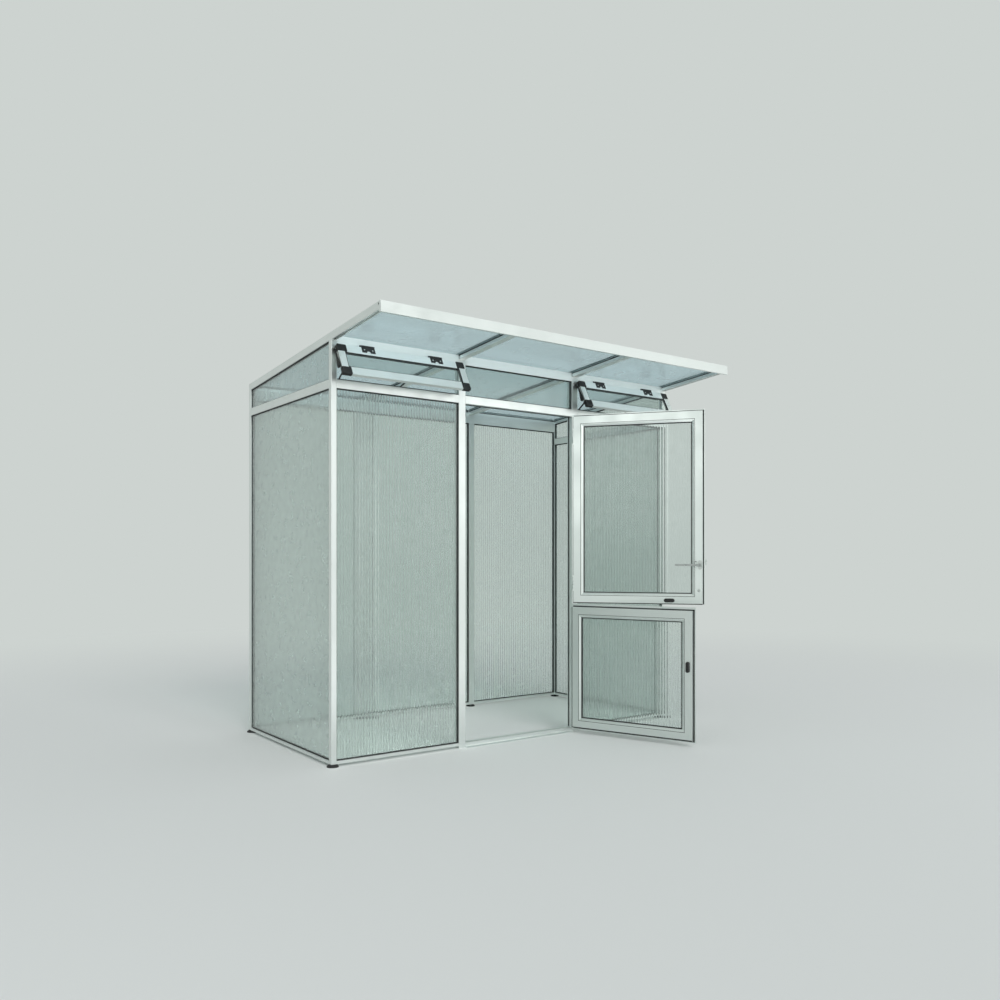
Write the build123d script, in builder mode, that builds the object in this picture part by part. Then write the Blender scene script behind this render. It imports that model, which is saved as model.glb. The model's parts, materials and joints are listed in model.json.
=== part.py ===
from build123d import *
import math
import os

# Driving sizes in millimetres, with the angles in degrees. X runs along the front to the right, Y to the
# back and Z up. The origin is on the ground in the middle of the doorway, in the plane of the front wall.

# Plan of the building
side_bay = 755.0
door_opening = 795.0
building_depth = 1168.0
corner_post = 30.0
jamb_width = 45.0
jamb_depth = 45.0

# Heights of the walls
foot_height = 14.0
base_bar = 16.0
sill_height = 27.0
rail_top = 2000.0
rail_height = 45.0
band_height = 174.0

# Roof, which rises towards the front and stands out over the door
roof_angle = 4.39
roof_rise = 68.0
overhang = 526.0
rafter_depth = 40.0
middle_rafter = 40.0
eave_beam = 61.0
fascia_height = 55.0
fascia_depth = 25.0
back_bar = 20.0

# Glazing sheets and the channels that hold them
sheet = 10.0
channel = 8.0
sheet_bite = 7.0
sheet_cover = 7.0
edge_round = 1.5

# Door leaves, hung on the right jamb and opening outwards
upper_leaf_angle = 126.6
lower_leaf_angle = 110.2
leaf_gap = 7.0
side_gap = 8.0
leaf_bar = 63.0
leaf_body = 22.0
flange = 12.0
flange_thickness = 4.0
lower_leaf_top = 776.0
meeting_strip = 19.0
bead_width = 16.0
bead_land = 4.0
bead_drop = 6.0
bead_groove = 1.5

# Door sill
sill_nose = 22.0
sill_lip = 8.0

# Door hinges
barrel_radius = 6.0
pin_radius = 3.0
pin_clearance = 0.3
knuckle = 40.0
knuckle_gap = 1.0
hinge_plate = 3.0
hinge_width = 28.0
hinge_inset = 120.0

# Door handle, a lever inside and a knob outside
handle_height = 1036.0
handle_inset = 15.0
hub_radius = 8.0
hub_clearance = 0.5
lever_length = 138.0
lever_reach = 34.0
lever_height = 11.0
lever_thickness = 8.0
knob_radius = 15.0
knob_thickness = 20.0
knob_reach = 45.0
knob_edge = 3.0
spindle_radius = 4.0
rose_width = 22.0
rose_height = 56.0
rose_thickness = 3.0

# Latch grips on the inner faces of the leaves
grip_length = 62.0
grip_width = 22.0
grip_thickness = 12.0
grip_edge = 3.0
upper_grip_along = 590.0
upper_grip_rise = 22.0
lower_grip_inset = 26.0
lower_grip_height = 455.0

# Top hung vents over the side bays, standing open
vent_open_angle = 27.0
vent_side_lap = 12.0
vent_head_lap = 4.0
vent_foot_lap = 7.0
vent_stand = 1.0
vent_thickness = 18.0
vent_rail = 46.0
vent_stile = 38.0
corner_width = 52.0
corner_height = 43.0
corner_proud = 1.0
corner_edge = 3.0

# Hinges and stays of the vents
vent_hinge_width = 77.0
vent_hinge_spacing = 420.0
vent_hinge_drop = 33.0
vent_hinge_rise = 9.0
vent_hinge_notch = 23.0
stay_width = 10.0
stay_thickness = 3.0
stay_shoe = 16.0

# Levelling feet
foot_radius = 31.0
foot_rim = 5.0
foot_collar = 21.0

# Plan worked out from the driving sizes
jamb_inner = door_opening / 2
jamb_outer = jamb_inner + jamb_width
bay_outer = jamb_outer + side_bay
half_width = bay_outer + corner_post
post_middle = corner_post / 2
back_inner = building_depth - corner_post
back_middle = building_depth - post_middle
bay_middle = (jamb_outer + bay_outer) / 2
mullion_middle = (jamb_inner + jamb_outer) / 2
bay_spans = ((-bay_outer, -jamb_outer), (jamb_outer, bay_outer))
wall_spans = ((-bay_outer, -jamb_outer), (-jamb_inner, jamb_inner), (jamb_outer, bay_outer))

# Heights and the slope of the roof
pitch = math.radians(roof_angle)
base_top = foot_height + base_bar
rail_bottom = rail_top - rail_height
header_bottom = rail_top + band_height
roof_front = header_bottom + roof_rise
roof_back = roof_front - building_depth * math.tan(pitch)
eave_bottom = roof_back - rafter_depth - eave_beam
roof_length = (building_depth + overhang) / math.cos(pitch)
rafter_length = roof_length - fascia_depth
sheet_under = sheet_cover + sheet
sheet_middle = -sheet_cover - sheet / 2
roof_normal = Vector(0, math.sin(pitch), math.cos(pitch))
roof_forward = Vector(0, -math.cos(pitch), math.sin(pitch))
roof_back_edge = Vector(0, building_depth, roof_back)
roof_section = Plane(origin=roof_back_edge, x_dir=(1, 0, 0), z_dir=roof_forward)
roof_surface = Plane(origin=roof_back_edge, x_dir=(1, 0, 0), z_dir=roof_normal)
roof_side = Plane(origin=roof_back_edge + Vector(half_width, 0, 0), x_dir=roof_forward, z_dir=(-1, 0, 0))
post_reach = roof_front - foot_height

# Door leaves: U runs along a leaf from its hinge pin, and V out of its outer face
outer_face = -barrel_radius
inner_face = outer_face - flange_thickness - leaf_body
leaf_start = barrel_radius
leaf_end = leaf_start + door_opening - 2 * side_gap
leaf_bottom = sill_height + leaf_gap
upper_leaf_bottom = lower_leaf_top + meeting_strip + leaf_gap
upper_leaf_top = rail_bottom - leaf_gap
pin_x = jamb_inner - side_gap + leaf_start
pin_y = -leaf_gap - flange_thickness - barrel_radius
pane_depth = -(outer_face + inner_face) / 2 - sheet / 2
handle_along = leaf_end - handle_inset
lower_hinge_heights = (leaf_bottom + hinge_inset, lower_leaf_top - hinge_inset)
upper_hinge_heights = (upper_leaf_bottom + hinge_inset, upper_leaf_top - hinge_inset)

# Vents: shut, they lap over the header, the rail and the posts, and they turn on the barrels of their hinges
vent_half = side_bay / 2 + vent_side_lap
vent_height = band_height + vent_head_lap + vent_foot_lap
vent_sheet_at = (vent_thickness - sheet) / 2
vent_turn = math.radians(vent_open_angle)
vent_up = Vector(0, math.sin(vent_turn), math.cos(vent_turn))
vent_out = Vector(0, -math.cos(vent_turn), math.sin(vent_turn))
vent_axis = Vector(0, -vent_stand - vent_thickness, header_bottom + vent_head_lap + barrel_radius)
vent_edge = vent_axis - vent_up * barrel_radius - vent_out * vent_thickness

os.makedirs("parts", exist_ok=True)


def under_roof(y, drop):
    """Height at y of the surface that lies drop below the roof's top, measured square to it."""
    return roof_back + (building_depth - y) * math.tan(pitch) - drop / math.cos(pitch)


def outline(*points):
    """Add a face to the open sketch from the corners of its outline."""
    Polygon(*points, align=None)


def finish(piece, name):
    """Label a finished piece and write it."""
    piece.part.label = name
    export_step(piece.part, f"parts/{name}.step")


def cut_under_rafters():
    """Trim the posts in the open part to the underside of the rafters."""
    split(bisect_by=Plane(origin=roof_back_edge - roof_normal * rafter_depth, z_dir=-roof_normal), keep=Keep.TOP)


# Corner posts, square bars with a channel towards each of the two walls that meet there
with BuildPart() as front_corner_posts:
    with BuildSketch(Plane.XY.offset(foot_height)):
        for side in (-1, 1):
            with Locations((side * (half_width - post_middle), post_middle)):
                RectangleRounded(corner_post, corner_post, edge_round)
            with Locations((side * (bay_outer + channel / 2), post_middle)):
                Rectangle(channel, sheet, mode=Mode.SUBTRACT)
            with Locations((side * (half_width - post_middle), corner_post - channel / 2)):
                Rectangle(sheet, channel, mode=Mode.SUBTRACT)
    extrude(amount=post_reach)
    cut_under_rafters()
finish(front_corner_posts, "front_corner_posts")

with BuildPart() as back_corner_posts:
    with BuildSketch(Plane.XY.offset(foot_height)):
        for side in (-1, 1):
            with Locations((side * (half_width - post_middle), back_middle)):
                RectangleRounded(corner_post, corner_post, edge_round)
            with Locations((side * (bay_outer + channel / 2), back_middle)):
                Rectangle(channel, sheet, mode=Mode.SUBTRACT)
            with Locations((side * (half_width - post_middle), building_depth - corner_post + channel / 2)):
                Rectangle(sheet, channel, mode=Mode.SUBTRACT)
    extrude(amount=post_reach)
    cut_under_rafters()
finish(back_corner_posts, "back_corner_posts")

# Jamb posts, each with a channel on the bay side and, above the rail, one for the sheet over the door
with BuildPart() as jamb_posts:
    with BuildSketch(Plane.XY.offset(foot_height)):
        for side in (-1, 1):
            with Locations((side * mullion_middle, jamb_depth / 2)):
                RectangleRounded(jamb_width, jamb_depth, edge_round)
            with Locations((side * (jamb_outer - channel / 2), post_middle)):
                Rectangle(channel, sheet, mode=Mode.SUBTRACT)
    extrude(amount=post_reach)
    with BuildSketch(Plane.XY.offset(rail_top - channel)):
        for side in (-1, 1):
            with Locations((side * (jamb_inner + channel / 2), post_middle)):
                Rectangle(channel, sheet)
    extrude(amount=post_reach, mode=Mode.SUBTRACT)
    cut_under_rafters()
finish(jamb_posts, "jamb_posts")

# Back mullions, in line with the jamb posts and under the eave beam
with BuildPart() as back_mullions:
    with BuildSketch(Plane.XY.offset(foot_height)):
        for side in (-1, 1):
            with Locations((side * mullion_middle, back_middle)):
                RectangleRounded(jamb_width, corner_post, edge_round)
            with Locations((side * (jamb_outer - channel / 2), back_middle)):
                Rectangle(channel, sheet, mode=Mode.SUBTRACT)
            with Locations((side * (jamb_inner + channel / 2), back_middle)):
                Rectangle(channel, sheet, mode=Mode.SUBTRACT)
    extrude(amount=eave_bottom - foot_height)
finish(back_mullions, "back_mullions")

# Base bars between the posts, with the sheets' channel along the top
def base_section(middle):
    """Section of a base bar whose channel lies at middle, measured across the bar."""
    outline(
        (middle - corner_post / 2, foot_height),
        (middle + corner_post / 2, foot_height),
        (middle + corner_post / 2, base_top),
        (middle + sheet / 2, base_top),
        (middle + sheet / 2, base_top - channel),
        (middle - sheet / 2, base_top - channel),
        (middle - sheet / 2, base_top),
        (middle - corner_post / 2, base_top),
    )


with BuildPart() as base_front:
    for start, end in bay_spans:
        with BuildSketch(Plane.YZ.offset(start)):
            base_section(post_middle)
        extrude(amount=end - start)
finish(base_front, "base_front")

with BuildPart() as base_back:
    for start, end in wall_spans:
        with BuildSketch(Plane.YZ.offset(start)):
            base_section(back_middle)
        extrude(amount=end - start)
finish(base_back, "base_back")

with BuildPart() as base_sides:
    with BuildSketch(Plane.XZ.offset(-corner_post)):
        base_section(-half_width + post_middle)
        base_section(half_width - post_middle)
    extrude(amount=-(building_depth - 2 * corner_post))
finish(base_sides, "base_sides")

# Door sill on the ground: a low plate that also carries the jamb posts, and a threshold with a nose in front
with BuildPart() as door_sill:
    with BuildSketch(Plane.YZ.offset(-jamb_outer)):
        outline((0, 0), (jamb_depth, 0), (jamb_depth, foot_height), (0, foot_height))
    extrude(amount=2 * jamb_outer)
    with BuildSketch(Plane.YZ.offset(-jamb_inner)):
        outline(
            (-sill_nose, 0),
            (jamb_depth, 0),
            (jamb_depth, sill_height),
            (0, sill_height),
            (0, sill_lip),
            (-sill_nose + sill_lip, sill_lip),
            (-sill_nose, sill_lip / 2),
        )
    extrude(amount=door_opening)
finish(door_sill, "door_sill")

# Rails above the lower sheets: plain ones under the vents, and a deeper door head
with BuildPart() as front_rail:
    for start, end in bay_spans:
        with BuildSketch(Plane.YZ.offset(start)):
            with Locations((post_middle, rail_top - rail_height / 2)):
                RectangleRounded(corner_post, rail_height, edge_round)
            with Locations((post_middle, rail_bottom + channel / 2)):
                Rectangle(sheet, channel, mode=Mode.SUBTRACT)
        extrude(amount=end - start)
    with BuildSketch(Plane.YZ.offset(-jamb_inner)):
        with Locations((jamb_depth / 2, rail_top - rail_height / 2)):
            RectangleRounded(jamb_depth, rail_height, edge_round)
        with Locations((post_middle, rail_top - channel / 2)):
            Rectangle(sheet, channel, mode=Mode.SUBTRACT)
    extrude(amount=door_opening)
finish(front_rail, "front_rail")

with BuildPart() as side_rails:
    with BuildSketch(Plane.XZ.offset(-corner_post)):
        for side in (-1, 1):
            with Locations((side * (half_width - post_middle), rail_top - rail_height / 2)):
                RectangleRounded(corner_post, rail_height, edge_round)
            with Locations(
                (side * (half_width - post_middle), rail_top - channel / 2),
                (side * (half_width - post_middle), rail_bottom + channel / 2),
            ):
                Rectangle(sheet, channel, mode=Mode.SUBTRACT)
    extrude(amount=-(building_depth - 2 * corner_post))
finish(side_rails, "side_rails")

# Front header, which closes the wall up to the roof sheets
with BuildPart() as front_header:
    for start, end in wall_spans:
        with BuildSketch(Plane.YZ.offset(start)):
            outline(
                (0, header_bottom),
                (post_middle - sheet / 2, header_bottom),
                (post_middle - sheet / 2, header_bottom + channel),
                (post_middle + sheet / 2, header_bottom + channel),
                (post_middle + sheet / 2, header_bottom),
                (corner_post, header_bottom),
                (corner_post, under_roof(corner_post, sheet_under)),
                (0, under_roof(0, sheet_under)),
            )
        extrude(amount=end - start)
finish(front_header, "front_header")

# Eave beam across the back wall, under the rafters
with BuildPart() as eave_beam_bar:
    with BuildSketch(Plane.YZ.offset(-bay_outer)):
        outline(
            (back_inner, eave_bottom),
            (back_middle - sheet / 2, eave_bottom),
            (back_middle - sheet / 2, eave_bottom + channel),
            (back_middle + sheet / 2, eave_bottom + channel),
            (back_middle + sheet / 2, eave_bottom),
            (building_depth, eave_bottom),
            (building_depth, under_roof(building_depth, rafter_depth)),
            (back_inner, under_roof(back_inner, rafter_depth)),
        )
    extrude(amount=2 * bay_outer)
finish(eave_beam_bar, "eave_beam")

# Rafters, drawn square to the roof: the edge ones also hold the sheets of the side walls
with BuildPart() as edge_rafters:
    with BuildSketch(roof_section):
        for side in (-1, 1):
            with Locations((side * (half_width - post_middle), -rafter_depth / 2)):
                RectangleRounded(corner_post, rafter_depth, edge_round)
            with Locations((side * (bay_outer + channel / 2), sheet_middle)):
                Rectangle(channel, sheet, mode=Mode.SUBTRACT)
            with Locations((side * (half_width - post_middle), -rafter_depth + channel / 2)):
                Rectangle(sheet, channel, mode=Mode.SUBTRACT)
    extrude(amount=rafter_length)
finish(edge_rafters, "edge_rafters")

with BuildPart() as middle_rafters:
    with BuildSketch(roof_section):
        for side in (-1, 1):
            with Locations((side * mullion_middle, -rafter_depth / 2)):
                RectangleRounded(middle_rafter, rafter_depth, edge_round)
            for face in (-1, 1):
                with Locations((side * mullion_middle + face * (middle_rafter - channel) / 2, sheet_middle)):
                    Rectangle(channel, sheet, mode=Mode.SUBTRACT)
    extrude(amount=rafter_length)
finish(middle_rafters, "middle_rafters")

# Front fascia, a deep bar with the sheets' channel behind, across the whole roof
with BuildPart() as fascia:
    with BuildSketch(roof_side):
        outline(
            (rafter_length, 0),
            (roof_length, 0),
            (roof_length, -fascia_height),
            (rafter_length + fascia_depth / 2, -fascia_height),
            (rafter_length, -rafter_depth),
            (rafter_length, sheet_middle - sheet / 2),
            (rafter_length + channel, sheet_middle - sheet / 2),
            (rafter_length + channel, sheet_middle + sheet / 2),
            (rafter_length, sheet_middle + sheet / 2),
        )
    extrude(amount=2 * half_width)
finish(fascia, "fascia")

# Roof bays between the rafters
rafter_half = middle_rafter / 2
roof_spans = (
    (-bay_outer, -mullion_middle - rafter_half),
    (-mullion_middle + rafter_half, mullion_middle - rafter_half),
    (mullion_middle + rafter_half, bay_outer),
)

with BuildPart() as roof_back_bars:
    for start, end in roof_spans:
        with BuildSketch(roof_side.offset(half_width - end)):
            outline(
                (0, 0),
                (back_bar, 0),
                (back_bar, sheet_middle + sheet / 2),
                (back_bar - channel, sheet_middle + sheet / 2),
                (back_bar - channel, sheet_middle - sheet / 2),
                (back_bar, sheet_middle - sheet / 2),
                (back_bar, -rafter_depth),
                (0, -rafter_depth),
            )
        extrude(amount=end - start)
finish(roof_back_bars, "roof_back_bars")

sheet_from = back_bar - sheet_bite
sheet_to = rafter_length + sheet_bite
with BuildPart() as roof_panes:
    with BuildSketch(roof_surface.offset(-sheet_under)):
        for start, end in roof_spans:
            with Locations(((start + end) / 2, -(sheet_from + sheet_to) / 2)):
                Rectangle(end - start + 2 * sheet_bite, sheet_to - sheet_from)
    extrude(amount=sheet)
finish(roof_panes, "roof_panes")

# Sheets of the walls
lower_from = base_top - sheet_bite
lower_to = rail_bottom + sheet_bite
front_sheet = Plane.XZ.offset(-(post_middle - sheet / 2))
with BuildPart() as front_panes:
    with BuildSketch(front_sheet):
        for start, end in bay_spans:
            with Locations(((start + end) / 2, (lower_from + lower_to) / 2)):
                Rectangle(end - start + 2 * sheet_bite, lower_to - lower_from)
    extrude(amount=-sheet)
finish(front_panes, "front_panes")

transom_from = rail_top - sheet_bite
transom_to = header_bottom + sheet_bite
with BuildPart() as transom_pane:
    with BuildSketch(front_sheet):
        with Locations((0, (transom_from + transom_to) / 2)):
            Rectangle(door_opening + 2 * sheet_bite, transom_to - transom_from)
    extrude(amount=-sheet)
finish(transom_pane, "transom_pane")

back_to = eave_bottom + sheet_bite
with BuildPart() as back_panes:
    with BuildSketch(Plane.XZ.offset(-(back_middle - sheet / 2))):
        for start, end in wall_spans:
            with Locations(((start + end) / 2, (lower_from + back_to) / 2)):
                Rectangle(end - start + 2 * sheet_bite, back_to - lower_from)
    extrude(amount=-sheet)
finish(back_panes, "back_panes")

side_sheets = (-half_width + post_middle - sheet / 2, half_width - post_middle - sheet / 2)
side_from = corner_post - sheet_bite
side_to = building_depth - corner_post + sheet_bite
with BuildPart() as side_panes:
    for side_x in side_sheets:
        with BuildSketch(Plane.YZ.offset(side_x)):
            with Locations(((side_from + side_to) / 2, (lower_from + lower_to) / 2)):
                Rectangle(side_to - side_from, lower_to - lower_from)
        extrude(amount=sheet)
finish(side_panes, "side_panes")

light_top = rafter_depth - sheet_bite
with BuildPart() as side_lights:
    for side_x in side_sheets:
        with BuildSketch(Plane.YZ.offset(side_x)):
            outline(
                (side_from, transom_from),
                (side_to, transom_from),
                (side_to, under_roof(side_to, light_top)),
                (side_from, under_roof(side_from, light_top)),
            )
        extrude(amount=sheet)
finish(side_lights, "side_lights")

# Levelling feet under the corner posts and the back mullions
foot_places = []
for side in (-1, 1):
    foot_places.append((side * (half_width - post_middle), post_middle))
    foot_places.append((side * (half_width - post_middle), back_middle))
    foot_places.append((side * mullion_middle, back_middle))

with BuildPart() as feet:
    for place_x, place_y in foot_places:
        with BuildSketch(Plane(origin=(place_x, place_y, 0), x_dir=(1, 0, 0), z_dir=(0, -1, 0))):
            outline((0, 0), (foot_radius, 0), (foot_radius, foot_rim), (foot_collar, foot_height), (0, foot_height))
        revolve(axis=Axis((place_x, place_y, 0), (0, 0, 1)))
finish(feet, "feet")


def vent_plane(side):
    """Plane on the back face of an open vent, with its X along the vent and its Y up the vent."""
    return Plane(origin=vent_edge + Vector(side * bay_middle, 0, 0), x_dir=(1, 0, 0), z_dir=vent_out)


def vent_opening(grow):
    """Light of a vent on the open sketch, grown into the bars all round."""
    with Locations((0, -vent_height / 2)):
        Rectangle(2 * (vent_half - vent_stile + grow), vent_height - 2 * (vent_rail - grow))


def vent_frame(side):
    """Four bars of a vent's frame, cut square between its corner pieces, with the sheet's channel."""
    with BuildPart() as bars:
        with BuildSketch(vent_plane(side)):
            with Locations((0, -vent_rail / 2), (0, -vent_height + vent_rail / 2)):
                Rectangle(2 * (vent_half - corner_width), vent_rail)
            for end in (-1, 1):
                with Locations((end * (vent_half - vent_stile / 2), -vent_height / 2)):
                    Rectangle(vent_stile, vent_height - 2 * corner_height)
        extrude(amount=vent_thickness)
        with BuildSketch(vent_plane(side).offset(vent_sheet_at)):
            vent_opening(channel)
        extrude(amount=sheet, mode=Mode.SUBTRACT)
    return bars


left_vent_frame = vent_frame(-1)
finish(left_vent_frame, "left_vent_frame")
right_vent_frame = vent_frame(1)
finish(right_vent_frame, "right_vent_frame")

# Corner pieces of the vents, which stand proud of the bars
with BuildPart() as vent_corners:
    for side in (-1, 1):
        with BuildSketch(vent_plane(side).offset(-corner_proud)) as corner_faces:
            for end in (-1, 1):
                for height in (-corner_height / 2, -vent_height + corner_height / 2):
                    with Locations((end * (vent_half - corner_width / 2), height)):
                        Rectangle(corner_width, corner_height)
            chamfer(corner_faces.vertices(), corner_edge)
        extrude(amount=vent_thickness + 2 * corner_proud)
        with BuildSketch(vent_plane(side).offset(vent_sheet_at)):
            vent_opening(channel)
        extrude(amount=sheet, mode=Mode.SUBTRACT)
finish(vent_corners, "vent_corners")

with BuildPart() as vent_panes:
    for side in (-1, 1):
        with BuildSketch(vent_plane(side).offset(vent_sheet_at)):
            vent_opening(sheet_bite)
        extrude(amount=sheet)
finish(vent_panes, "vent_panes")

# Vent hinges: a bracket on the header, a barrel over the vent's top edge and a two lobed plate on its face
with BuildPart() as vent_hinges:
    for side in (-1, 1):
        for step in (-1, 1):
            along = step * vent_hinge_spacing / 2
            with BuildSketch(Plane.YZ.offset(side * bay_middle + along - vent_hinge_width / 2)):
                outline(
                    (0, vent_axis.Z - hinge_plate / 2),
                    (0, vent_axis.Z + vent_hinge_rise),
                    (-hinge_plate, vent_axis.Z + vent_hinge_rise),
                    (-hinge_plate, vent_axis.Z + hinge_plate / 2),
                    (vent_axis.Y, vent_axis.Z + hinge_plate / 2),
                    (vent_axis.Y, vent_axis.Z - hinge_plate / 2),
                )
                with Locations((vent_axis.Y, vent_axis.Z)):
                    Circle(barrel_radius)
            extrude(amount=vent_hinge_width)
            with BuildSketch(vent_plane(side).offset(vent_thickness)):
                with Locations((along, (barrel_radius - vent_hinge_drop) / 2)):
                    Rectangle(vent_hinge_width, vent_hinge_drop + barrel_radius)
                with Locations((along, -vent_hinge_drop)):
                    Circle(vent_hinge_notch / 2, mode=Mode.SUBTRACT)
            extrude(amount=hinge_plate)
finish(vent_hinges, "vent_hinges")

# Stays that hold the vents open: a shoe on the rail and a link up to the back of the vent
stay_foot = post_middle / 2
stay_places = (
    (0, vent_height - vent_rail / 2),
    (-side_bay / 2 + stay_shoe, vent_height - corner_height - stay_width),
)
with BuildPart() as vent_stays:
    for side in (-1, 1):
        for along, down in stay_places:
            middle = side * bay_middle + along
            head_low = vent_edge - vent_up * (down + stay_width / 2)
            head_high = vent_edge - vent_up * (down - stay_width / 2)
            with BuildSketch(Plane.YZ.offset(middle - stay_thickness / 2)):
                outline(
                    (head_low.Y, head_low.Z),
                    (stay_foot - stay_width / 2, rail_top),
                    (stay_foot + stay_width / 2, rail_top),
                    (stay_foot + stay_width / 2, rail_top + stay_width / 2),
                    (head_high.Y, head_high.Z),
                )
            extrude(amount=stay_thickness)
            with BuildSketch(Plane.XY.offset(rail_top)):
                with Locations((middle, stay_foot)):
                    Rectangle(stay_shoe, stay_width)
            extrude(amount=stay_width / 2)
finish(vent_stays, "vent_stays")


def leaf_directions(angle):
    """Unit vectors along the leaf and out of its outer face, at an opening angle."""
    turn = math.radians(angle)
    along = Vector(-math.cos(turn), -math.sin(turn), 0)
    outwards = Vector(math.sin(turn), -math.cos(turn), 0)
    return along, outwards


def leaf_floor(angle, height):
    """Level plane at a height, with its X along the leaf and its Y out of the leaf's outer face."""
    along, outwards = leaf_directions(angle)
    return Plane(origin=(pin_x, pin_y, height), x_dir=along, z_dir=(0, 0, 1))


def leaf_end_on(angle, start):
    """Upright plane across the leaf, with its X out of the outer face and its Y up."""
    along, outwards = leaf_directions(angle)
    return Plane(origin=Vector(pin_x, pin_y, 0) + along * start, x_dir=outwards, z_dir=along)


def leaf_wall(angle, depth):
    """Upright plane in the leaf at a depth behind the pin, with its X along the leaf and its Y up."""
    along, outwards = leaf_directions(angle)
    return Plane(origin=Vector(pin_x, pin_y, 0) - outwards * depth, x_dir=along, z_dir=-outwards)


def bar_points(edge, inward, lap):
    """Corners of a leaf bar's section: distance along the leaf or up it, and place through the leaf."""
    bead_start = leaf_bar - bead_width
    section = [
        (-lap, outer_face),
        (leaf_bar, outer_face),
        (leaf_bar, -pane_depth),
        (leaf_bar - channel, -pane_depth),
        (leaf_bar - channel, -pane_depth - sheet),
        (leaf_bar, -pane_depth - sheet),
        (leaf_bar, inner_face + bead_drop),
        (bead_start + bead_land, inner_face),
        (bead_start, inner_face),
        (bead_start, inner_face + bead_groove),
        (bead_start - bead_groove, inner_face + bead_groove),
        (bead_start - bead_groove, inner_face),
        (0, inner_face),
    ]
    if lap > 0:
        section += [(0, outer_face - flange_thickness), (-lap, outer_face - flange_thickness)]
    return [(edge + inward * across, through) for across, through in section]


def mitre_cuts(bottom, top, reach, side):
    """Triangles on the open sketch that cut the bars of a leaf along its four mitre lines."""
    for edge, inward in ((leaf_start, 1), (leaf_end, -1)):
        for height, upward in ((bottom, 1), (top, -1)):
            outline(
                (edge - inward * reach, height - upward * reach),
                (edge + inward * reach, height + upward * reach),
                (edge + side * inward * reach, height - side * upward * reach),
            )


def leaf_stiles(angle, bottom, top, bottom_lap, top_lap, hinge_heights, spindle_holes):
    """Hinge stile and lock stile of a leaf, mitred, with the flange cut away around the hinges."""
    with BuildPart() as stiles:
        with BuildSketch(leaf_floor(angle, bottom - bottom_lap)):
            outline(*bar_points(leaf_start, 1, flange))
            outline(*bar_points(leaf_end, -1, flange))
        extrude(amount=top + top_lap - bottom + bottom_lap)
        with BuildSketch(leaf_wall(angle, 0)):
            mitre_cuts(bottom, top, leaf_bar + flange, 1)
            for height in spindle_holes:
                with Locations((handle_along, height)):
                    Circle(spindle_radius + hub_clearance)
        extrude(amount=leaf_gap - inner_face, mode=Mode.SUBTRACT)
        with BuildSketch(leaf_wall(angle, -outer_face)):
            for height in hinge_heights:
                with Locations((leaf_start - flange / 2, height)):
                    Rectangle(flange, 2 * (knuckle + leaf_gap))
        extrude(amount=flange_thickness, mode=Mode.SUBTRACT)
    return stiles


def leaf_rails(angle, bottom, top, bottom_lap, top_lap):
    """Bottom rail and top rail of a leaf, mitred at both ends."""
    with BuildPart() as rails:
        with BuildSketch(leaf_end_on(angle, leaf_start - flange)):
            outline(*[(through, up) for up, through in bar_points(bottom, 1, bottom_lap)])
            outline(*[(through, up) for up, through in bar_points(top, -1, top_lap)])
        extrude(amount=leaf_end - leaf_start + 2 * flange)
        with BuildSketch(leaf_wall(angle, 0)):
            mitre_cuts(bottom, top, leaf_bar + flange + meeting_strip, -1)
        extrude(amount=leaf_gap - inner_face, mode=Mode.SUBTRACT)
    return rails


def leaf_pane(angle, bottom, top):
    """Sheet of a leaf, held in the channels of its bars."""
    hidden = 2 * (leaf_bar - sheet_bite)
    with BuildPart() as pane:
        with BuildSketch(leaf_wall(angle, pane_depth)):
            with Locations(((leaf_start + leaf_end) / 2, (bottom + top) / 2)):
                Rectangle(leaf_end - leaf_start - hidden, top - bottom - hidden)
        extrude(amount=sheet)
    return pane


def leaf_hinges(angle, heights):
    """Leaf halves of the hinges: a bored barrel and a plate on the leaf's outer face."""
    with BuildPart() as halves:
        for height in heights:
            with BuildSketch(leaf_floor(angle, height + knuckle_gap)):
                Circle(barrel_radius)
                with Locations((hinge_width / 2, outer_face + hinge_plate / 2)):
                    Rectangle(hinge_width, hinge_plate)
                Circle(pin_radius + pin_clearance, mode=Mode.SUBTRACT)
            extrude(amount=knuckle)
    return halves


def latch_grip(angle, along, height, turn):
    """Oval latch grip with a bevelled edge, on the inner face of a leaf."""
    with BuildPart() as grip:
        with BuildSketch(leaf_wall(angle, -inner_face)):
            with Locations((along, height)):
                SlotOverall(grip_length, grip_width, rotation=turn)
        extrude(amount=grip_thickness)
        inwards = Axis(origin=(pin_x, pin_y, 0), direction=-leaf_directions(angle)[1])
        chamfer(grip.faces().sort_by(inwards)[-1].edges(), grip_edge)
    return grip


# Lower leaf, whose meeting strip stands up behind the joint between the leaves
lower_stiles = leaf_stiles(
    lower_leaf_angle, leaf_bottom, lower_leaf_top, flange, meeting_strip, lower_hinge_heights, ()
)
finish(lower_stiles, "lower_stiles")
lower_rails = leaf_rails(lower_leaf_angle, leaf_bottom, lower_leaf_top, flange, meeting_strip)
finish(lower_rails, "lower_rails")
lower_pane = leaf_pane(lower_leaf_angle, leaf_bottom, lower_leaf_top)
finish(lower_pane, "lower_pane")
lower_hinges = leaf_hinges(lower_leaf_angle, lower_hinge_heights)
finish(lower_hinges, "lower_hinges")
lower_latch = latch_grip(lower_leaf_angle, leaf_end - lower_grip_inset, lower_grip_height, 90)
finish(lower_latch, "lower_latch")

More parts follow.
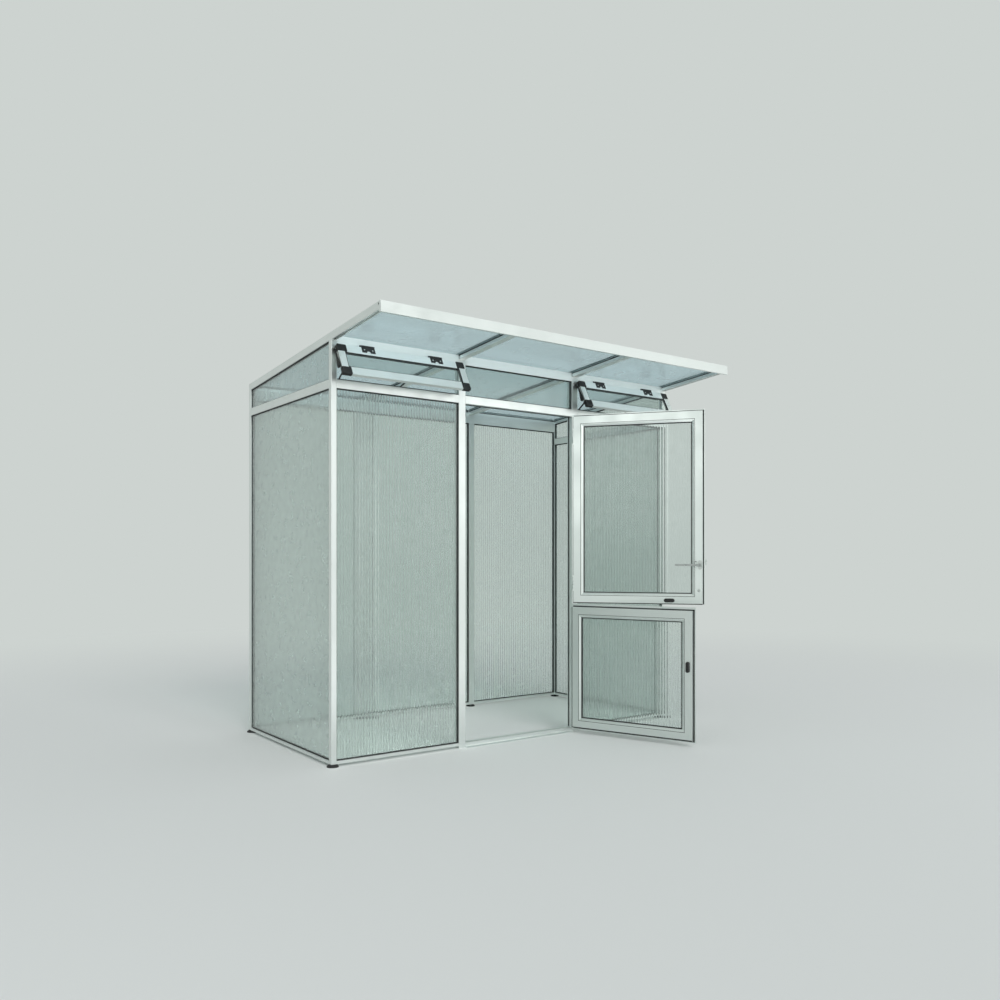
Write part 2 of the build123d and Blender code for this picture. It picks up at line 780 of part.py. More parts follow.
# Upper leaf, with the hole for the spindle of its handle
upper_stiles = leaf_stiles(
    upper_leaf_angle, upper_leaf_bottom, upper_leaf_top, 0, flange, upper_hinge_heights, (handle_height,)
)
finish(upper_stiles, "upper_stiles")
upper_rails = leaf_rails(upper_leaf_angle, upper_leaf_bottom, upper_leaf_top, 0, flange)
finish(upper_rails, "upper_rails")
upper_pane = leaf_pane(upper_leaf_angle, upper_leaf_bottom, upper_leaf_top)
finish(upper_pane, "upper_pane")
upper_hinges = leaf_hinges(upper_leaf_angle, upper_hinge_heights)
finish(upper_hinges, "upper_hinges")
upper_latch = latch_grip(upper_leaf_angle, upper_grip_along, upper_leaf_bottom + upper_grip_rise, 0)
finish(upper_latch, "upper_latch")

# Jamb halves of the door hinges: a plate on the post, a barrel on a short web, and the pin
with BuildPart() as jamb_hinges:
    for height in lower_hinge_heights + upper_hinge_heights:
        with BuildSketch(Plane.XY.offset(height - knuckle)):
            with Locations((pin_x, pin_y)):
                Circle(barrel_radius)
            outline(
                (pin_x, pin_y),
                (pin_x + barrel_radius, pin_y),
                (pin_x + barrel_radius, -hinge_plate),
                (pin_x + hinge_width, -hinge_plate),
                (pin_x + hinge_width, 0),
                (pin_x + barrel_radius - hinge_plate, 0),
                (pin_x + barrel_radius - hinge_plate, pin_y + barrel_radius),
                (pin_x, pin_y + barrel_radius),
            )
        extrude(amount=knuckle)
        with BuildSketch(Plane.XY.offset(height)):
            with Locations((pin_x, pin_y)):
                Circle(pin_radius)
        extrude(amount=knuckle)
finish(jamb_hinges, "jamb_hinges")

# Roses of the handle, one on each face of the lock stile
with BuildPart() as handle_roses:
    for depth in (-outer_face - rose_thickness, -inner_face):
        with BuildSketch(leaf_wall(upper_leaf_angle, depth)):
            with Locations((handle_along, handle_height)):
                SlotOverall(rose_height, rose_width, rotation=90)
                Circle(hub_radius + hub_clearance, mode=Mode.SUBTRACT)
        extrude(amount=rose_thickness)
finish(handle_roses, "handle_roses")


def handle_plane(depth):
    """Plane across the handle's spindle at a depth behind the hinge pin, with its X along the leaf."""
    return leaf_wall(upper_leaf_angle, depth).shift_origin(
        leaf_wall(upper_leaf_angle, depth).from_local_coords((handle_along, handle_height, 0))
    )


# Handle: lever and hub inside, hub and bevelled knob outside, joined by the spindle
lever_back = -inner_face + lever_reach - lever_thickness
knob_face = -outer_face - knob_reach
with BuildPart() as lever_handle:
    with BuildSketch(handle_plane(-inner_face + hub_clearance)):
        Circle(hub_radius)
    extrude(amount=lever_reach - hub_clearance)
    with BuildSketch(handle_plane(lever_back)):
        with Locations((-lever_length / 2, 0)):
            Rectangle(lever_length, lever_height)
        with Locations((-lever_length, 0)):
            Circle(lever_height / 2)
    extrude(amount=lever_thickness)
    with BuildSketch(handle_plane(knob_face + knob_thickness)):
        Circle(hub_radius)
    extrude(amount=knob_reach - knob_thickness - hub_clearance)
    with BuildSketch(handle_plane(knob_face)):
        Circle(knob_radius - knob_edge)
    extrude(amount=knob_edge, taper=-45)
    with BuildSketch(handle_plane(knob_face + knob_edge)):
        Circle(knob_radius)
    extrude(amount=knob_thickness - knob_edge)
    with BuildSketch(handle_plane(-outer_face - rose_thickness)):
        Circle(spindle_radius)
    extrude(amount=outer_face - inner_face + 2 * rose_thickness)
finish(lever_handle, "lever_handle")
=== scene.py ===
import json
import math
from functools import partial

import bpy
from bpy.props import FloatProperty, FloatVectorProperty, PointerProperty
from bpy.types import Operator, Panel, PropertyGroup
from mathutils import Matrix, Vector
from mathutils.bvhtree import BVHTree


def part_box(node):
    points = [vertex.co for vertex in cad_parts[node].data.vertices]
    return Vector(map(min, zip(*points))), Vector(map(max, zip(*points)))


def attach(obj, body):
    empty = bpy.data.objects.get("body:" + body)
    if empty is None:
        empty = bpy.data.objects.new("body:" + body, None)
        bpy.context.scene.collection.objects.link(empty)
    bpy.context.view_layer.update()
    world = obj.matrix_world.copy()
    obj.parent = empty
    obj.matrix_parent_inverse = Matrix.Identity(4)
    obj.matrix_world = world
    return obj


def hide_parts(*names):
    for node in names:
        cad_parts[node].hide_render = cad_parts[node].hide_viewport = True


bl_info = {
    "name": "Greenhouse Finishes",
    "version": (1, 0, 0),
    "blender": (4, 5, 0),
    "location": "3D View > Sidebar > Greenhouse",
    "description": "Glazing, seals, fixings and finishes of a small greenhouse with a stable door",
    "category": "Object",
}

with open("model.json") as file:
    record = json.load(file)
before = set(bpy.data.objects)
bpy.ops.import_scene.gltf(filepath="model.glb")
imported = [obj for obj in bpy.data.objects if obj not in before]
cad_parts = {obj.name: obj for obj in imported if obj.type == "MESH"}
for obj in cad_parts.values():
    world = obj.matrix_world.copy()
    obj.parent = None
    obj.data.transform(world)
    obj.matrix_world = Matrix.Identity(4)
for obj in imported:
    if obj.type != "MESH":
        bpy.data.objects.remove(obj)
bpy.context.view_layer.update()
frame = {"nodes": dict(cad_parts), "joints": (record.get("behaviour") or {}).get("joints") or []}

ROOM_MIDDLE = Vector((0.0, 0.57, 1.2))
X_AXIS, Y_AXIS, Z_AXIS = Vector((1, 0, 0)), Vector((0, 1, 0)), Vector((0, 0, 1))
WHITE = (1.0, 1.0, 1.0, 1.0)

# Directions that the frame's bars run in, and the nodes whose bars run that way.
ROOF_ANGLE = math.radians(4.39)
UPRIGHT = ("front_corner_posts", "back_corner_posts", "jamb_posts", "back_mullions")
LENGTHWAYS = (
    "base_front", "base_back", "door_sill", "front_rail",
    "eave_beam", "fascia", "roof_back_bars",
)
FRONT_TO_BACK = ("base_sides", "side_rails")
SLOPING = ("edge_rafters", "middle_rafters")
VENTS = ("left_vent_frame", "right_vent_frame")
SHELTERED = ("front_header",) + VENTS
BLACK_PARTS = ("feet", "vent_corners", "vent_hinges", "vent_stays", "lower_latch", "upper_latch")
HINGES = ("jamb_hinges", "lower_hinges", "upper_hinges")
RIBBED_SHEETS = ("front_panes", "back_panes", "side_panes", "side_lights")
SMOOTH_SHEETS = ("transom_pane", "vent_panes")
LEAVES = (("lower_leaf", "lower"), ("upper_leaf", "upper"))

# How far a sheet reaches into its bars, how wide the bead is that holds a leaf's sheet, and how
# high the leaf's inner face stands above the sheet.
BITE, BEAD_WIDTH, BEAD_RISE = 0.007, 0.016, 0.008

# A vent's arm, from the rail down to the vent's lower corner: y, z and half its width.
ARM_PATH = (
    (0.002, 2.152, 0.006),
    (-0.016, 2.145, 0.004),
    (-0.034, 2.126, 0.0036),
    (-0.048, 2.100, 0.005),
    (-0.058, 2.076, 0.0105),
    (-0.066, 2.056, 0.0125),
)
ARM_JOINT = (-0.065, 2.058)


def linear(code):
    """An sRGB hex colour as the linear values that the shaders take."""
    values = [int(code[i:i + 2], 16) / 255 for i in (1, 3, 5)]
    return tuple(v / 12.92 if v <= 0.04045 else ((v + 0.055) / 1.055) ** 2.4 for v in values)


def length(name, description, default, least=0.0):
    """A setting that is a length in metres."""
    return FloatProperty(name=name, description=description, default=default, min=least, unit="LENGTH")


def colour(name, description, code):
    """A setting that is a colour, given as an sRGB hex value."""
    return FloatVectorProperty(
        name=name, description=description, subtype="COLOR", default=linear(code))


def power(name, description, default):
    """A setting that is a lamp's power in watts."""
    return FloatProperty(name=name, description=description, default=default, min=0.0, subtype="POWER")


class SheetSettings(PropertyGroup):
    """Sizes and colours of the twin-wall sheets."""
    rib_spacing: length("Rib spacing", "Distance from one rib of a sheet to the next", 0.017, 0.004)
    skin_dip: length("Skin dip", "How far a skin sinks between two ribs as the sheet cools", 0.0002)
    skin_thickness: length("Skin thickness", "Thickness of the inner skin", 0.0006, 0.0002)
    skin_depth: length("Skin inset", "Distance of a skin's middle from the sheet's face", 0.0003)
    wall_tint: colour("Wall tint", "Colour that one wall skin lets through", "#f5f8f7")
    roof_tint: colour("Roof tint", "Colour that one roof skin lets through", "#f3f9fb")
    wall_milk: colour("Wall milk", "Colour that a wall sheet scatters", "#eef3f1")
    roof_milk: colour("Roof milk", "Colour that a roof sheet scatters", "#e4eef1")


class SealSettings(PropertyGroup):
    """Sizes of the rubber seals."""
    width: length("Seal width", "Width of a seal on the sheet", 0.005, 0.001)
    height: length("Seal height", "Height of a seal along the bar", 0.0032, 0.0005)
    # A bead seal also paints the shade in the bead's groove.
    bead_seal_and_shade_width: length("Bead seal width", "Width of the seal beside a bead", 0.0016, 0.0005)
    seal_width: length("Weather seal width", "Width of the seal on a leaf's flange", 0.007, 0.001)
    seal_height: length("Weather seal height", "Height of the seal on a leaf's flange", 0.004, 0.001)
    # A wiper is also a dark strip that paints the shade in the gaps round the leaves.
    wiper_and_gap_shade_height: length("Wiper height", "Height of the wiper at the foot of a leaf", 0.005, 0.001)
    rubber: colour("Seal colour", "Colour of the rubber", "#1b1d1d")


class FittingSettings(PropertyGroup):
    """Sizes of the screws, the lock and the vents' arms."""
    screw_radius: length("Screw radius", "Radius of a hinge screw's head", 0.0038, 0.001)
    screw_height: length("Screw height", "Height of a hinge screw's head", 0.002, 0.0005)
    lock_radius: length("Lock radius", "Radius of the ring round the lock", 0.0095, 0.003)
    lock_along: length("Lock place", "Distance of the lock from the upper leaf's pin", 0.765)
    lock_high: length("Lock height", "Height of the lock above the floor", 0.884)
    plate_reach: length("Pull plate reach", "How far the outer pull plate passes the leaf's edge", 0.022)
    plate_depth: length("Pull plate depth", "Thickness of the outer pull plate", 0.011, 0.002)
    arm_thickness: length("Arm thickness", "Thickness of a vent's arm", 0.008, 0.002)
    arm_gap: length("Arm gap", "Distance from a vent's arm to the vent", 0.004)


class MetalSettings(PropertyGroup):
    """Colours of the aluminium and the fittings."""
    frame_colour: colour("Frame colour", "Anodised aluminium of the frame", "#eaefed")
    # The leaves' metal is the frame's, drawn a little darker and greener: painted shade on the door.
    shaded_leaf_colour: colour("Leaf colour", "Anodised aluminium of the door leaves", "#e3eae7")
    lever_colour: colour("Lever colour", "Satin metal of the lever", "#a9aeac")
    steel_colour: colour("Steel colour", "Satin steel of the roses, the lock and the screws", "#cdd3d0")
    plastic_colour: colour("Plastic colour", "Black moulded fittings", "#08090a")


class StageSettings(PropertyGroup):
    """The floor, the lamps and the camera."""
    floor_radius: length("Floor radius", "Radius of the floor", 60.0)
    floor_colour: colour("Floor colour", "Colour of the floor", "#dbdfdd")
    backdrop: colour("Backdrop colour", "Colour seen behind the object", "#cdd3d0")
    room_colour: colour("Room colour", "Colour of the light from all round", "#f2f6f8")
    room_strength: FloatProperty(
        name="Room light", description="Strength of the light from all round", default=0.5, min=0.0)
    key_strength: FloatProperty(
        name="Key lamp", description="Strength of the wide soft lamp in front", default=1.8, min=0.0)
    right_card: power("Right card", "Power of the wide lamp on the right", 38.0)
    left_card: power("Left card", "Power of the wide lamp on the left", 22.0)
    floor_card: power("Floor card", "Power of the wide lamp on the floor in front", 16.0)
    camera_place: FloatVectorProperty(
        name="Camera place", description="Where the camera stands", subtype="TRANSLATION",
        unit="LENGTH", default=(-3.2255, -4.211, 1.084))
    camera_turn: FloatProperty(
        name="Camera turn", description="Turn of the level camera about the upright", subtype="ANGLE",
        default=-0.630)
    lens: FloatProperty(
        name="Focal length", description="Focal length of the camera in millimetres", default=32.1)


# Node and mesh helpers.

def add_node(tree, kind, feeds=(), **settings):
    """Adds a node. feeds are its sockets' values or what feeds them, settings its own properties."""
    node = tree.nodes.new("ShaderNode" + kind)
    for name, value in settings.items():
        setattr(node, name, value)
    for name, value in dict(feeds).items():
        if isinstance(value, bpy.types.Node):
            # A node stands for the first output that it has in use.
            value = next(output for output in value.outputs if not output.is_unavailable)
        if isinstance(value, bpy.types.NodeSocket):
            tree.links.new(value, node.inputs[name])
        else:
            node.inputs[name].default_value = value
    return node


def new_material(name):
    """An empty node material, the function that adds nodes to it and the place on the object."""
    made = bpy.data.materials.new(name)
    made.use_nodes = True
    made.node_tree.nodes.clear()
    add = partial(add_node, made.node_tree)
    return made, add, add("TexCoord").outputs["Object"]


def finished(material, add, shader):
    """The material, once its surface is joined to its output."""
    add("OutputMaterial", {"Surface": shader})
    return material


def rgba(values, factor=1.0):
    """A colour, darkened by a factor, with the fourth value that a socket takes."""
    return tuple(v * factor for v in values) + (1.0,)


def add_piece(name, shape, materials, body, face_slots=None, smooth=False):
    """Makes a mesh piece in the shared frame, on its body and with its finish.

    Its shape is its points and its faces.
    """
    points, faces = shape
    mesh = bpy.data.meshes.new(name)
    mesh.from_pydata([tuple(p) for p in points], [], faces)
    for material in materials:
        mesh.materials.append(material)
    for index, polygon in enumerate(mesh.polygons):
        polygon.use_smooth = smooth
        if face_slots:
            polygon.material_index = face_slots[index]
    mesh.validate()
    mesh.update()
    piece = bpy.data.objects.new(name, mesh)
    bpy.context.scene.collection.objects.link(piece)
    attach(piece, body)
    return piece


def join_loops(faces, first, second, count, flip=False):
    """Adds the faces between two closed loops of points."""
    for i in range(count):
        j = (i + 1) % count
        face = (first + i, first + j, second + j, second + i)
        faces.append(face[::-1] if flip else face)


def cap_loops(faces, first, last, count):
    """Closes the first and the last loop of points."""
    faces.append(tuple(range(first, first + count))[::-1])
    faces.append(tuple(range(last, last + count)))


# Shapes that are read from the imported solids.

def solids_of(node):
    """The corner points of each solid of a CAD node, and the direction of its largest face."""
    mesh = frame["nodes"][node].data
    numbers = {}
    index = [
        numbers.setdefault(tuple(round(c * 20000) for c in v.co), len(numbers))
        for v in mesh.vertices
    ]
    parent = list(range(len(numbers)))

    def top(i):
        while parent[i] != i:
            parent[i] = parent[parent[i]]
            i = parent[i]
        return i

    for polygon in mesh.polygons:
        first = top(index[polygon.vertices[0]])
        for v in polygon.vertices[1:]:
            parent[top(index[v])] = first
    points, largest = {}, {}
    for vertex, i in zip(mesh.vertices, index):
        points.setdefault(top(i), []).append(vertex.co.copy())
    for polygon in mesh.polygons:
        solid = top(index[polygon.vertices[0]])
        if polygon.area > largest.get(solid, (0.0, None))[0]:
            largest[solid] = (polygon.area, polygon.normal.copy())
    return [(points[s], largest[s][1]) for s in sorted(points, key=lambda s: tuple(points[s][0]))]


def box_of(points):
    """The lowest and highest corner of some points."""
    low = Vector([min(p[i] for p in points) for i in range(3)])
    high = Vector([max(p[i] for p in points) for i in range(3)])
    return low, high


def boxes_of(node):
    """The box of each solid of a CAD node, from left to right."""
    return sorted((box_of(corners) for corners, _ in solids_of(node)), key=lambda box: box[0].x)


def spots_on(node, rays):
    """Where rays, each a start and a direction, meet a CAD node, with the surface's direction."""
    mesh = frame["nodes"][node].data
    tree = BVHTree.FromPolygons(
        [v.co for v in mesh.vertices], [tuple(p.vertices) for p in mesh.polygons])
    hits = [tree.ray_cast(start, way) for start, way in rays]
    return [(spot, normal) for spot, normal, _, _ in hits if spot]


def convex_outline(points):
    """The corners of the outline round flat points, turning left."""
    ordered = sorted({(round(x, 5), round(y, 5)) for x, y in points})

    def half(run):
        kept = []
        for x, y in run:
            while len(kept) > 1:
                (ax, ay), (bx, by) = kept[-2:]
                if (bx - ax) * (y - ay) - (by - ay) * (x - ax) > 1e-7:
                    break
                kept.pop()
            kept.append((x, y))
        return kept[:-1]

    return half(ordered) + half(ordered[::-1])


class SheetPlane:
    """A sheet's own plane: a runs across the ribs, b along them and n out of the face."""

    def __init__(self, points, normal):
        middle = sum(points, Vector()) / len(points)
        self.n = normal.normalized() * (1 if normal.dot(middle - ROOM_MIDDLE) > 0 else -1)
        self.b = (Z_AXIS - self.n * self.n.z).normalized()
        self.a = self.b.cross(self.n).normalized()
        heights = [p.dot(self.n) for p in points]
        self.low, self.high = min(heights), max(heights)
        self.outline = convex_outline([(p.dot(self.a), p.dot(self.b)) for p in points])

    def point(self, a, b, n):
        return self.a * a + self.b * b + self.n * n

    def reach(self, a):
        """The lowest and highest place along the ribs at a."""
        found = []
        corners = self.outline
        for (ax, ay), (bx, by) in zip(corners, corners[1:] + corners[:1]):
            if abs(bx - ax) < 1e-6:
                if abs(a - ax) < 1e-5:
                    found += [ay, by]
            elif min(ax, bx) - 1e-6 <= a <= max(ax, bx) + 1e-6:
                found.append(ay + (by - ay) * (a - ax) / (bx - ax))
        return min(found), max(found)


class LeafFrame:
    """A leaf's own directions: u along it from the pin, v outwards through it, z up."""
    flange_thickness = 0.004

    def __init__(self, start):
        joint = next(j for j in frame["joints"] if j["child"] == start + "_leaf")
        self.pin = Vector((joint["pos_m"][0], joint["pos_m"][1], 0.0))
        points, normal = solids_of(start + "_pane")[0]
        away = sum(points, Vector()) / len(points) - self.pin
        self.u = Vector((-normal.y, normal.x, 0.0)).normalized()
        self.u *= 1 if self.u.dot(away) > 0 else -1
        self.v = Vector((-self.u.y, self.u.x, 0.0))
        bars = (start + "_stiles", start + "_rails")
        low, high = self.box(bars)
        self.inner_face, self.outer_face = low.y, high.y
        self.flange_face = self.outer_face - self.flange_thickness
        # The leaf's body without its flange.
        low, high = self.box(bars, self.flange_face - 0.001)
        self.near, self.far, self.foot, self.head = low.x, high.x, low.z, high.z

    def point(self, u, v, z):
        return self.pin + self.u * u + self.v * v + Z_AXIS * z

    def box(self, nodes, limit=math.inf):
        """The box of CAD nodes in the leaf's own directions, of the points with v under a limit."""
        places = []
        for node in nodes:
            for vertex in frame["nodes"][node].data.vertices:
                away = vertex.co - self.pin
                places.append((away.dot(self.u), away.dot(self.v), vertex.co.z))
        return box_of([place for place in places if place[1] < limit])


def inset(outline, distance):
    """The outline drawn in by a distance, with its corners mitred."""
    count = len(outline)
    lines = []
    for i in range(count):
        (ax, ay), (bx, by) = outline[i], outline[(i + 1) % count]
        side = math.hypot(bx - ax, by - ay)
        dx, dy = (bx - ax) / side, (by - ay) / side
        lines.append((ax - dy * distance, ay + dx * distance, dx, dy))
    corners = []
    for i in range(count):
        px, py, dx, dy = lines[i - 1]
        qx, qy, ex, ey = lines[i]
        t = ((qx - px) * ey - (qy - py) * ex) / (dx * ey - dy * ex)
        corners.append((px + dx * t, py + dy * t))
    return corners


def turned(shape, centre, axis, profile, count=20):
    """Adds a round part to a mesh: the profile lists its radius and its height along the axis."""
    points, faces = shape
    across = axis.orthogonal().normalized()
    other = axis.cross(across)
    first = len(points)
    for radius, height in profile:
        for i in range(count):
            angle = 2 * math.pi * i / count
            side = across * math.cos(angle) + other * math.sin(angle)
            points.append(centre + axis * height + side * radius)
    last = len(points) - count
    for ring in range(first, last, count):
        join_loops(faces, ring, ring + count, count)
    cap_loops(faces, first, last, count)


def softened_plate(shape, outline, place, depth, bevel):
    """Adds a plate with softened edges. place turns outline places and a height into a point."""
    points, faces = shape
    count = len(outline)
    rings = []
    for distance, height in ((bevel, 0.0), (0.0, bevel), (0.0, depth - bevel), (bevel, depth)):
        rings.append(len(points))
        points += [place(a, b, height) for a, b in inset(outline, distance)]
    for first, second in zip(rings, rings[1:]):
        join_loops(faces, first, second, count)
    cap_loops(faces, rings[0], rings[-1], count)


def rounded_box(low_a, low_b, high_a, high_b, radius, steps=5):
    """The outline of a rectangle with round corners, turning left."""
    near_a, near_b, far_a, far_b = low_a + radius, low_b + radius, high_a - radius, high_b - radius
    outline = []
    for corner, (a, b) in enumerate(((far_a, far_b), (near_a, far_b), (near_a, near_b), (far_a, near_b))):
        for i in range(steps + 1):
            angle = math.pi / 2 * (corner + i / steps)
            outline.append((a + radius * math.cos(angle), b + radius * math.sin(angle)))
    return outline


def bent_bar(path, steps=6):
    """The outline round a bent bar, turning left. The path lists its places and half widths."""
    right, left, tips = [], [], []
    for i, (a, b, half) in enumerate(path):
        (pa, pb, _), (qa, qb, _) = path[max(i - 1, 0)], path[min(i + 1, len(path) - 1)]
        run = math.hypot(qa - pa, qb - pb)
        da, db = (qa - pa) / run, (qb - pb) / run
        right.append((a + db * half, b - da * half))
        left.append((a - db * half, b + da * half))
        if i in (0, len(path) - 1):
            turn = math.atan2(db, da) + (math.pi / 2 if i == 0 else -math.pi / 2)
            angles = [turn + math.pi * k / steps for k in range(1, steps)]
            tips.append([(a + half * math.cos(t), b + half * math.sin(t)) for t in angles])
    return right + tips[1] + left[::-1] + tips[0]


def bulb_strip(shape, start, end, across, out, width, height):
    """Adds a straight seal with a rounded back."""
    points, faces = shape
    profile = (
        (0.0, 0.0), (0.0, height * 0.7), (width * 0.25, height),
        (width * 0.6, height * 0.9), (width, height * 0.35), (width, 0.0),
    )
    first, count = len(points), len(profile)
    for end_point in (start, end):
        points += [end_point + across * x + out * y for x, y in profile]
    join_loops(faces, first, first + count, count)
    cap_loops(faces, first, first + count, count)


def framed_strip(shape, plane, base, out, profile):
    """Adds a strip that runs round a sheet. The profile lists its inset and its rise."""
    points, faces = shape
    count = len(plane.outline)
    rings = []
    for distance, rise in profile:
        rings.append(len(points))
        points += [plane.point(a, b, base + out * rise) for a, b in inset(plane.outline, distance)]
    for first, second in zip(rings, rings[1:] + rings[:1]):
        join_loops(faces, first, second, count, flip=out < 0)


# Finishes.

# A noise pattern's values nearly all lie between these two.
MIDDLE = {"From Min": 0.3, "From Max": 0.7}


def anodised_extrusion(name, base, axis=2, turn=(0.0, 0.0, 0.0), roughness=0.36):
    """Aluminium, pressed through a die and anodised: a satin grey with faint lines along the bar."""
    material, add, place = new_material(name)
    along_bar = add("VectorRotate", {"Vector": place, "Rotation": turn}, rotation_type="EULER_XYZ")
    # Die lines are under 1 mm apart; 4 mm is as fine as the render shows.
    scale = tuple(1 / (0.9 if i == axis else 0.004) for i in range(3))
    stretched = add("Mapping", {"Vector": along_bar, "Scale": scale})
    lines = add("TexNoise", {"Vector": stretched, "Scale": 1.0, "Detail": 3.0, "Roughness": 0.6})
    # Uneven anodising shows as clouds about 120 mm wide.
    clouds = add("TexNoise", {"Vector": place, "Scale": 1 / 0.12, "Detail": 4.0})
    shade = add("Mix", {"Factor": lines, "A": rgba(base, 0.90), "B": rgba(base)}, data_type="RGBA")
    cloudy = add("MapRange", {"Value": clouds, **MIDDLE, "To Max": 0.35})
    tones = add("Mix", {"Factor": cloudy, "A": shade, "B": rgba(base, 0.84)}, data_type="RGBA")
    rough = add("MapRange", {
        "Value": clouds, **MIDDLE, "To Min": roughness - 0.05, "To Max": roughness + 0.07})
    bump = add("Bump", {"Height": lines, "Strength": 0.25, "Distance": 0.0002})
    return finished(material, add, add("BsdfPrincipled", {
        "Base Color": tones, "Metallic": 1.0, "Roughness": rough, "Normal": bump}))


def satin_metal(name, base):
    """Metal, cast or stamped and tumbled: a soft shine with a fine even grain."""
    material, add, place = new_material(name)
    # Tumbling leaves a grain of 0.3 mm, drawn at 1 mm so that it shows.
    grain = add("TexNoise", {"Vector": place, "Scale": 1 / 0.001, "Detail": 2.0})
    # Hands and weather wear it in patches about 30 mm wide.
    wear = add("TexNoise", {"Vector": place, "Scale": 1 / 0.03, "Detail": 3.0})
    tones = add("Mix", {"Factor": wear, "A": rgba(base, 0.86), "B": rgba(base)}, data_type="RGBA")
    rough = add("MapRange", {"Value": wear, **MIDDLE, "To Min": 0.24, "To Max": 0.36})
    bump = add("Bump", {"Height": grain, "Strength": 0.12, "Distance": 0.0001})
    return finished(material, add, add("BsdfPrincipled", {
        "Base Color": tones, "Metallic": 1.0, "Roughness": rough, "Normal": bump}))


def moulded_nylon(name, base):
    """Glass-filled nylon, injection-moulded: a dull black with a fine grain from the mould."""
    material, add, place = new_material(name)
    # A spark-eroded mould leaves a grain of 0.2 mm, drawn at 1.2 mm so that it shows.
    grain = add("TexNoise", {"Vector": place, "Scale": 1 / 0.0012, "Detail": 2.0})
    # Dust and weather grey the plastic in patches about 20 mm wide.
    dust = add("TexNoise", {"Vector": place, "Scale": 1 / 0.02, "Detail": 4.0})
    greyed = add("MapRange", {"Value": dust, "From Min": 0.35, "From Max": 0.75, "To Max": 0.3})
    grey = rgba(linear("#202323"))
    tones = add("Mix", {"Factor": greyed, "A": rgba(base), "B": grey}, data_type="RGBA")
    rough = add("MapRange", {"Value": grain, "To Min": 0.55, "To Max": 0.7})
    bump = add("Bump", {"Height": grain, "Strength": 0.3, "Distance": 0.0002})
    return finished(material, add, add("BsdfPrincipled", {
        "Base Color": tones, "Roughness": rough, "IOR": 1.53, "Normal": bump}))


def extruded_rubber(name, base):
    """EPDM rubber, extruded: a dead black that catches only a dull edge of light."""
    material, add, place = new_material(name)
    # Wax that blooms out of the rubber greys it in patches about 40 mm wide.
    bloom = add("TexNoise", {"Vector": place, "Scale": 1 / 0.04, "Detail": 4.0})
    greyed = add("MapRange", {"Value": bloom, "From Min": 0.4, "From Max": 0.8, "To Max": 0.5})
    grey = rgba(linear("#34393a"))
    tones = add("Mix", {"Factor": greyed, "A": rgba(base), "B": grey}, data_type="RGBA")
    rough = add("MapRange", {"Value": bloom, "To Min": 0.6, "To Max": 0.78})
    return finished(material, add, add("BsdfPrincipled", {
        "Base Color": tones, "Roughness": rough, "IOR": 1.52}))


def scattered(add, milk):
    """The light that milky plastic scatters, half back and half through."""
    front = add("BsdfDiffuse", {"Color": rgba(milk)})
    back = add("BsdfTranslucent", {"Color": rgba(milk)})
    return add("MixShader", {0: 0.5, 1: front, 2: back})


def clear_skin(name, tint):
    """Polycarbonate, extruded, the outer skin of a twin-wall sheet: clear with a long gloss."""
    material, add, place = new_material(name)
    # Rain leaves faint marks about 60 mm wide on the gloss.
    marks = add("TexNoise", {"Vector": place, "Scale": 1 / 0.06, "Detail": 5.0})
    rough = add("MapRange", {"Value": marks, **MIDDLE, "To Min": 0.16, "To Max": 0.3})
    through = add("BsdfTransparent", {"Color": rgba(tint)})
    gloss = add("BsdfGlossy", {"Color": WHITE, "Roughness": rough})
    # Both sides of the skin shine alike: about 5% straight on, and more along the sheet.
    facing = add("LayerWeight", {"Blend": 0.5}).outputs["Facing"]
    grazing = add("Math", {0: facing, 1: 4.0}, operation="POWER")
    mirror = add("MapRange", {"Value": grazing, "To Min": 0.05, "To Max": 0.8})
    return finished(material, add, add("MixShader", {0: mirror, 1: through, 2: gloss}))


def lens_skin(name, tint, milk, spacing, lens_slope, haze):
    """Polycarbonate, extruded, the cavity side of a sheet's inner skin: it smears what lies behind."""
    material, add, place = new_material(name)
    # Moisture in the channels makes the haze uneven over about 300 mm.
    damp = add("TexNoise", {"Vector": place, "Scale": 1 / 0.3, "Detail": 3.0})
    share = add("MapRange", {
        "Value": damp, **MIDDLE, "To Min": haze - 0.05, "To Max": haze + 0.05})
    # The plastic runs thicker at each rib, so each channel works as a long lens.
    across = add("SeparateXYZ", {0: add("UVMap", uv_map="sheet")}).outputs["X"]
    turn = add("Math", {0: across, 1: 2 * math.pi / spacing}, operation="MULTIPLY")
    wave = add("Math", {0: turn}, operation="SINE")
    lean = add("MapRange", {
        "Value": wave, "From Min": -1.0, "From Max": 1.0,
        "To Min": 0.5 - lens_slope / 2, "To Max": 0.5 + lens_slope / 2})
    leaning = add("CombineColor", {"Red": lean, "Green": 0.5, "Blue": 0.99})
    lens = add("NormalMap", {"Color": leaning}, space="TANGENT", uv_map="sheet")
    blur = add("BsdfRefraction", {
        "Color": rgba(tint), "Roughness": 0.05, "IOR": 1.58, "Normal": lens})
    body = add("MixShader", {0: share, 1: blur, 2: scattered(add, milk)})
    return finished(material, add, shadowed(add, body, rgba(tint, 0.92)))


def flat_skin(name, tint):
    """Polycarbonate, extruded, the room side of a sheet's inner skin: smooth from the roller."""
    material, add, place = new_material(name)
    # Lime from dried drops dulls the face in marks about 25 mm wide.
    marks = add("TexNoise", {"Vector": place, "Scale": 1 / 0.025, "Detail": 3.0})
    rough = add("MapRange", {
        "Value": marks, "From Min": 0.4, "From Max": 0.8, "To Min": 0.02, "To Max": 0.06})
    body = add("BsdfRefraction", {"Color": rgba(tint), "Roughness": rough, "IOR": 1.58})
    return finished(material, add, shadowed(add, body, rgba(tint)))


def shadowed(add, body, tint):
    """A body that lets light through to cast a tinted shadow."""
    through = add("BsdfTransparent", {"Color": tint})
    shadow = add("LightPath").outputs["Is Shadow Ray"]
    return add("MixShader", {0: shadow, 1: body, 2: through})


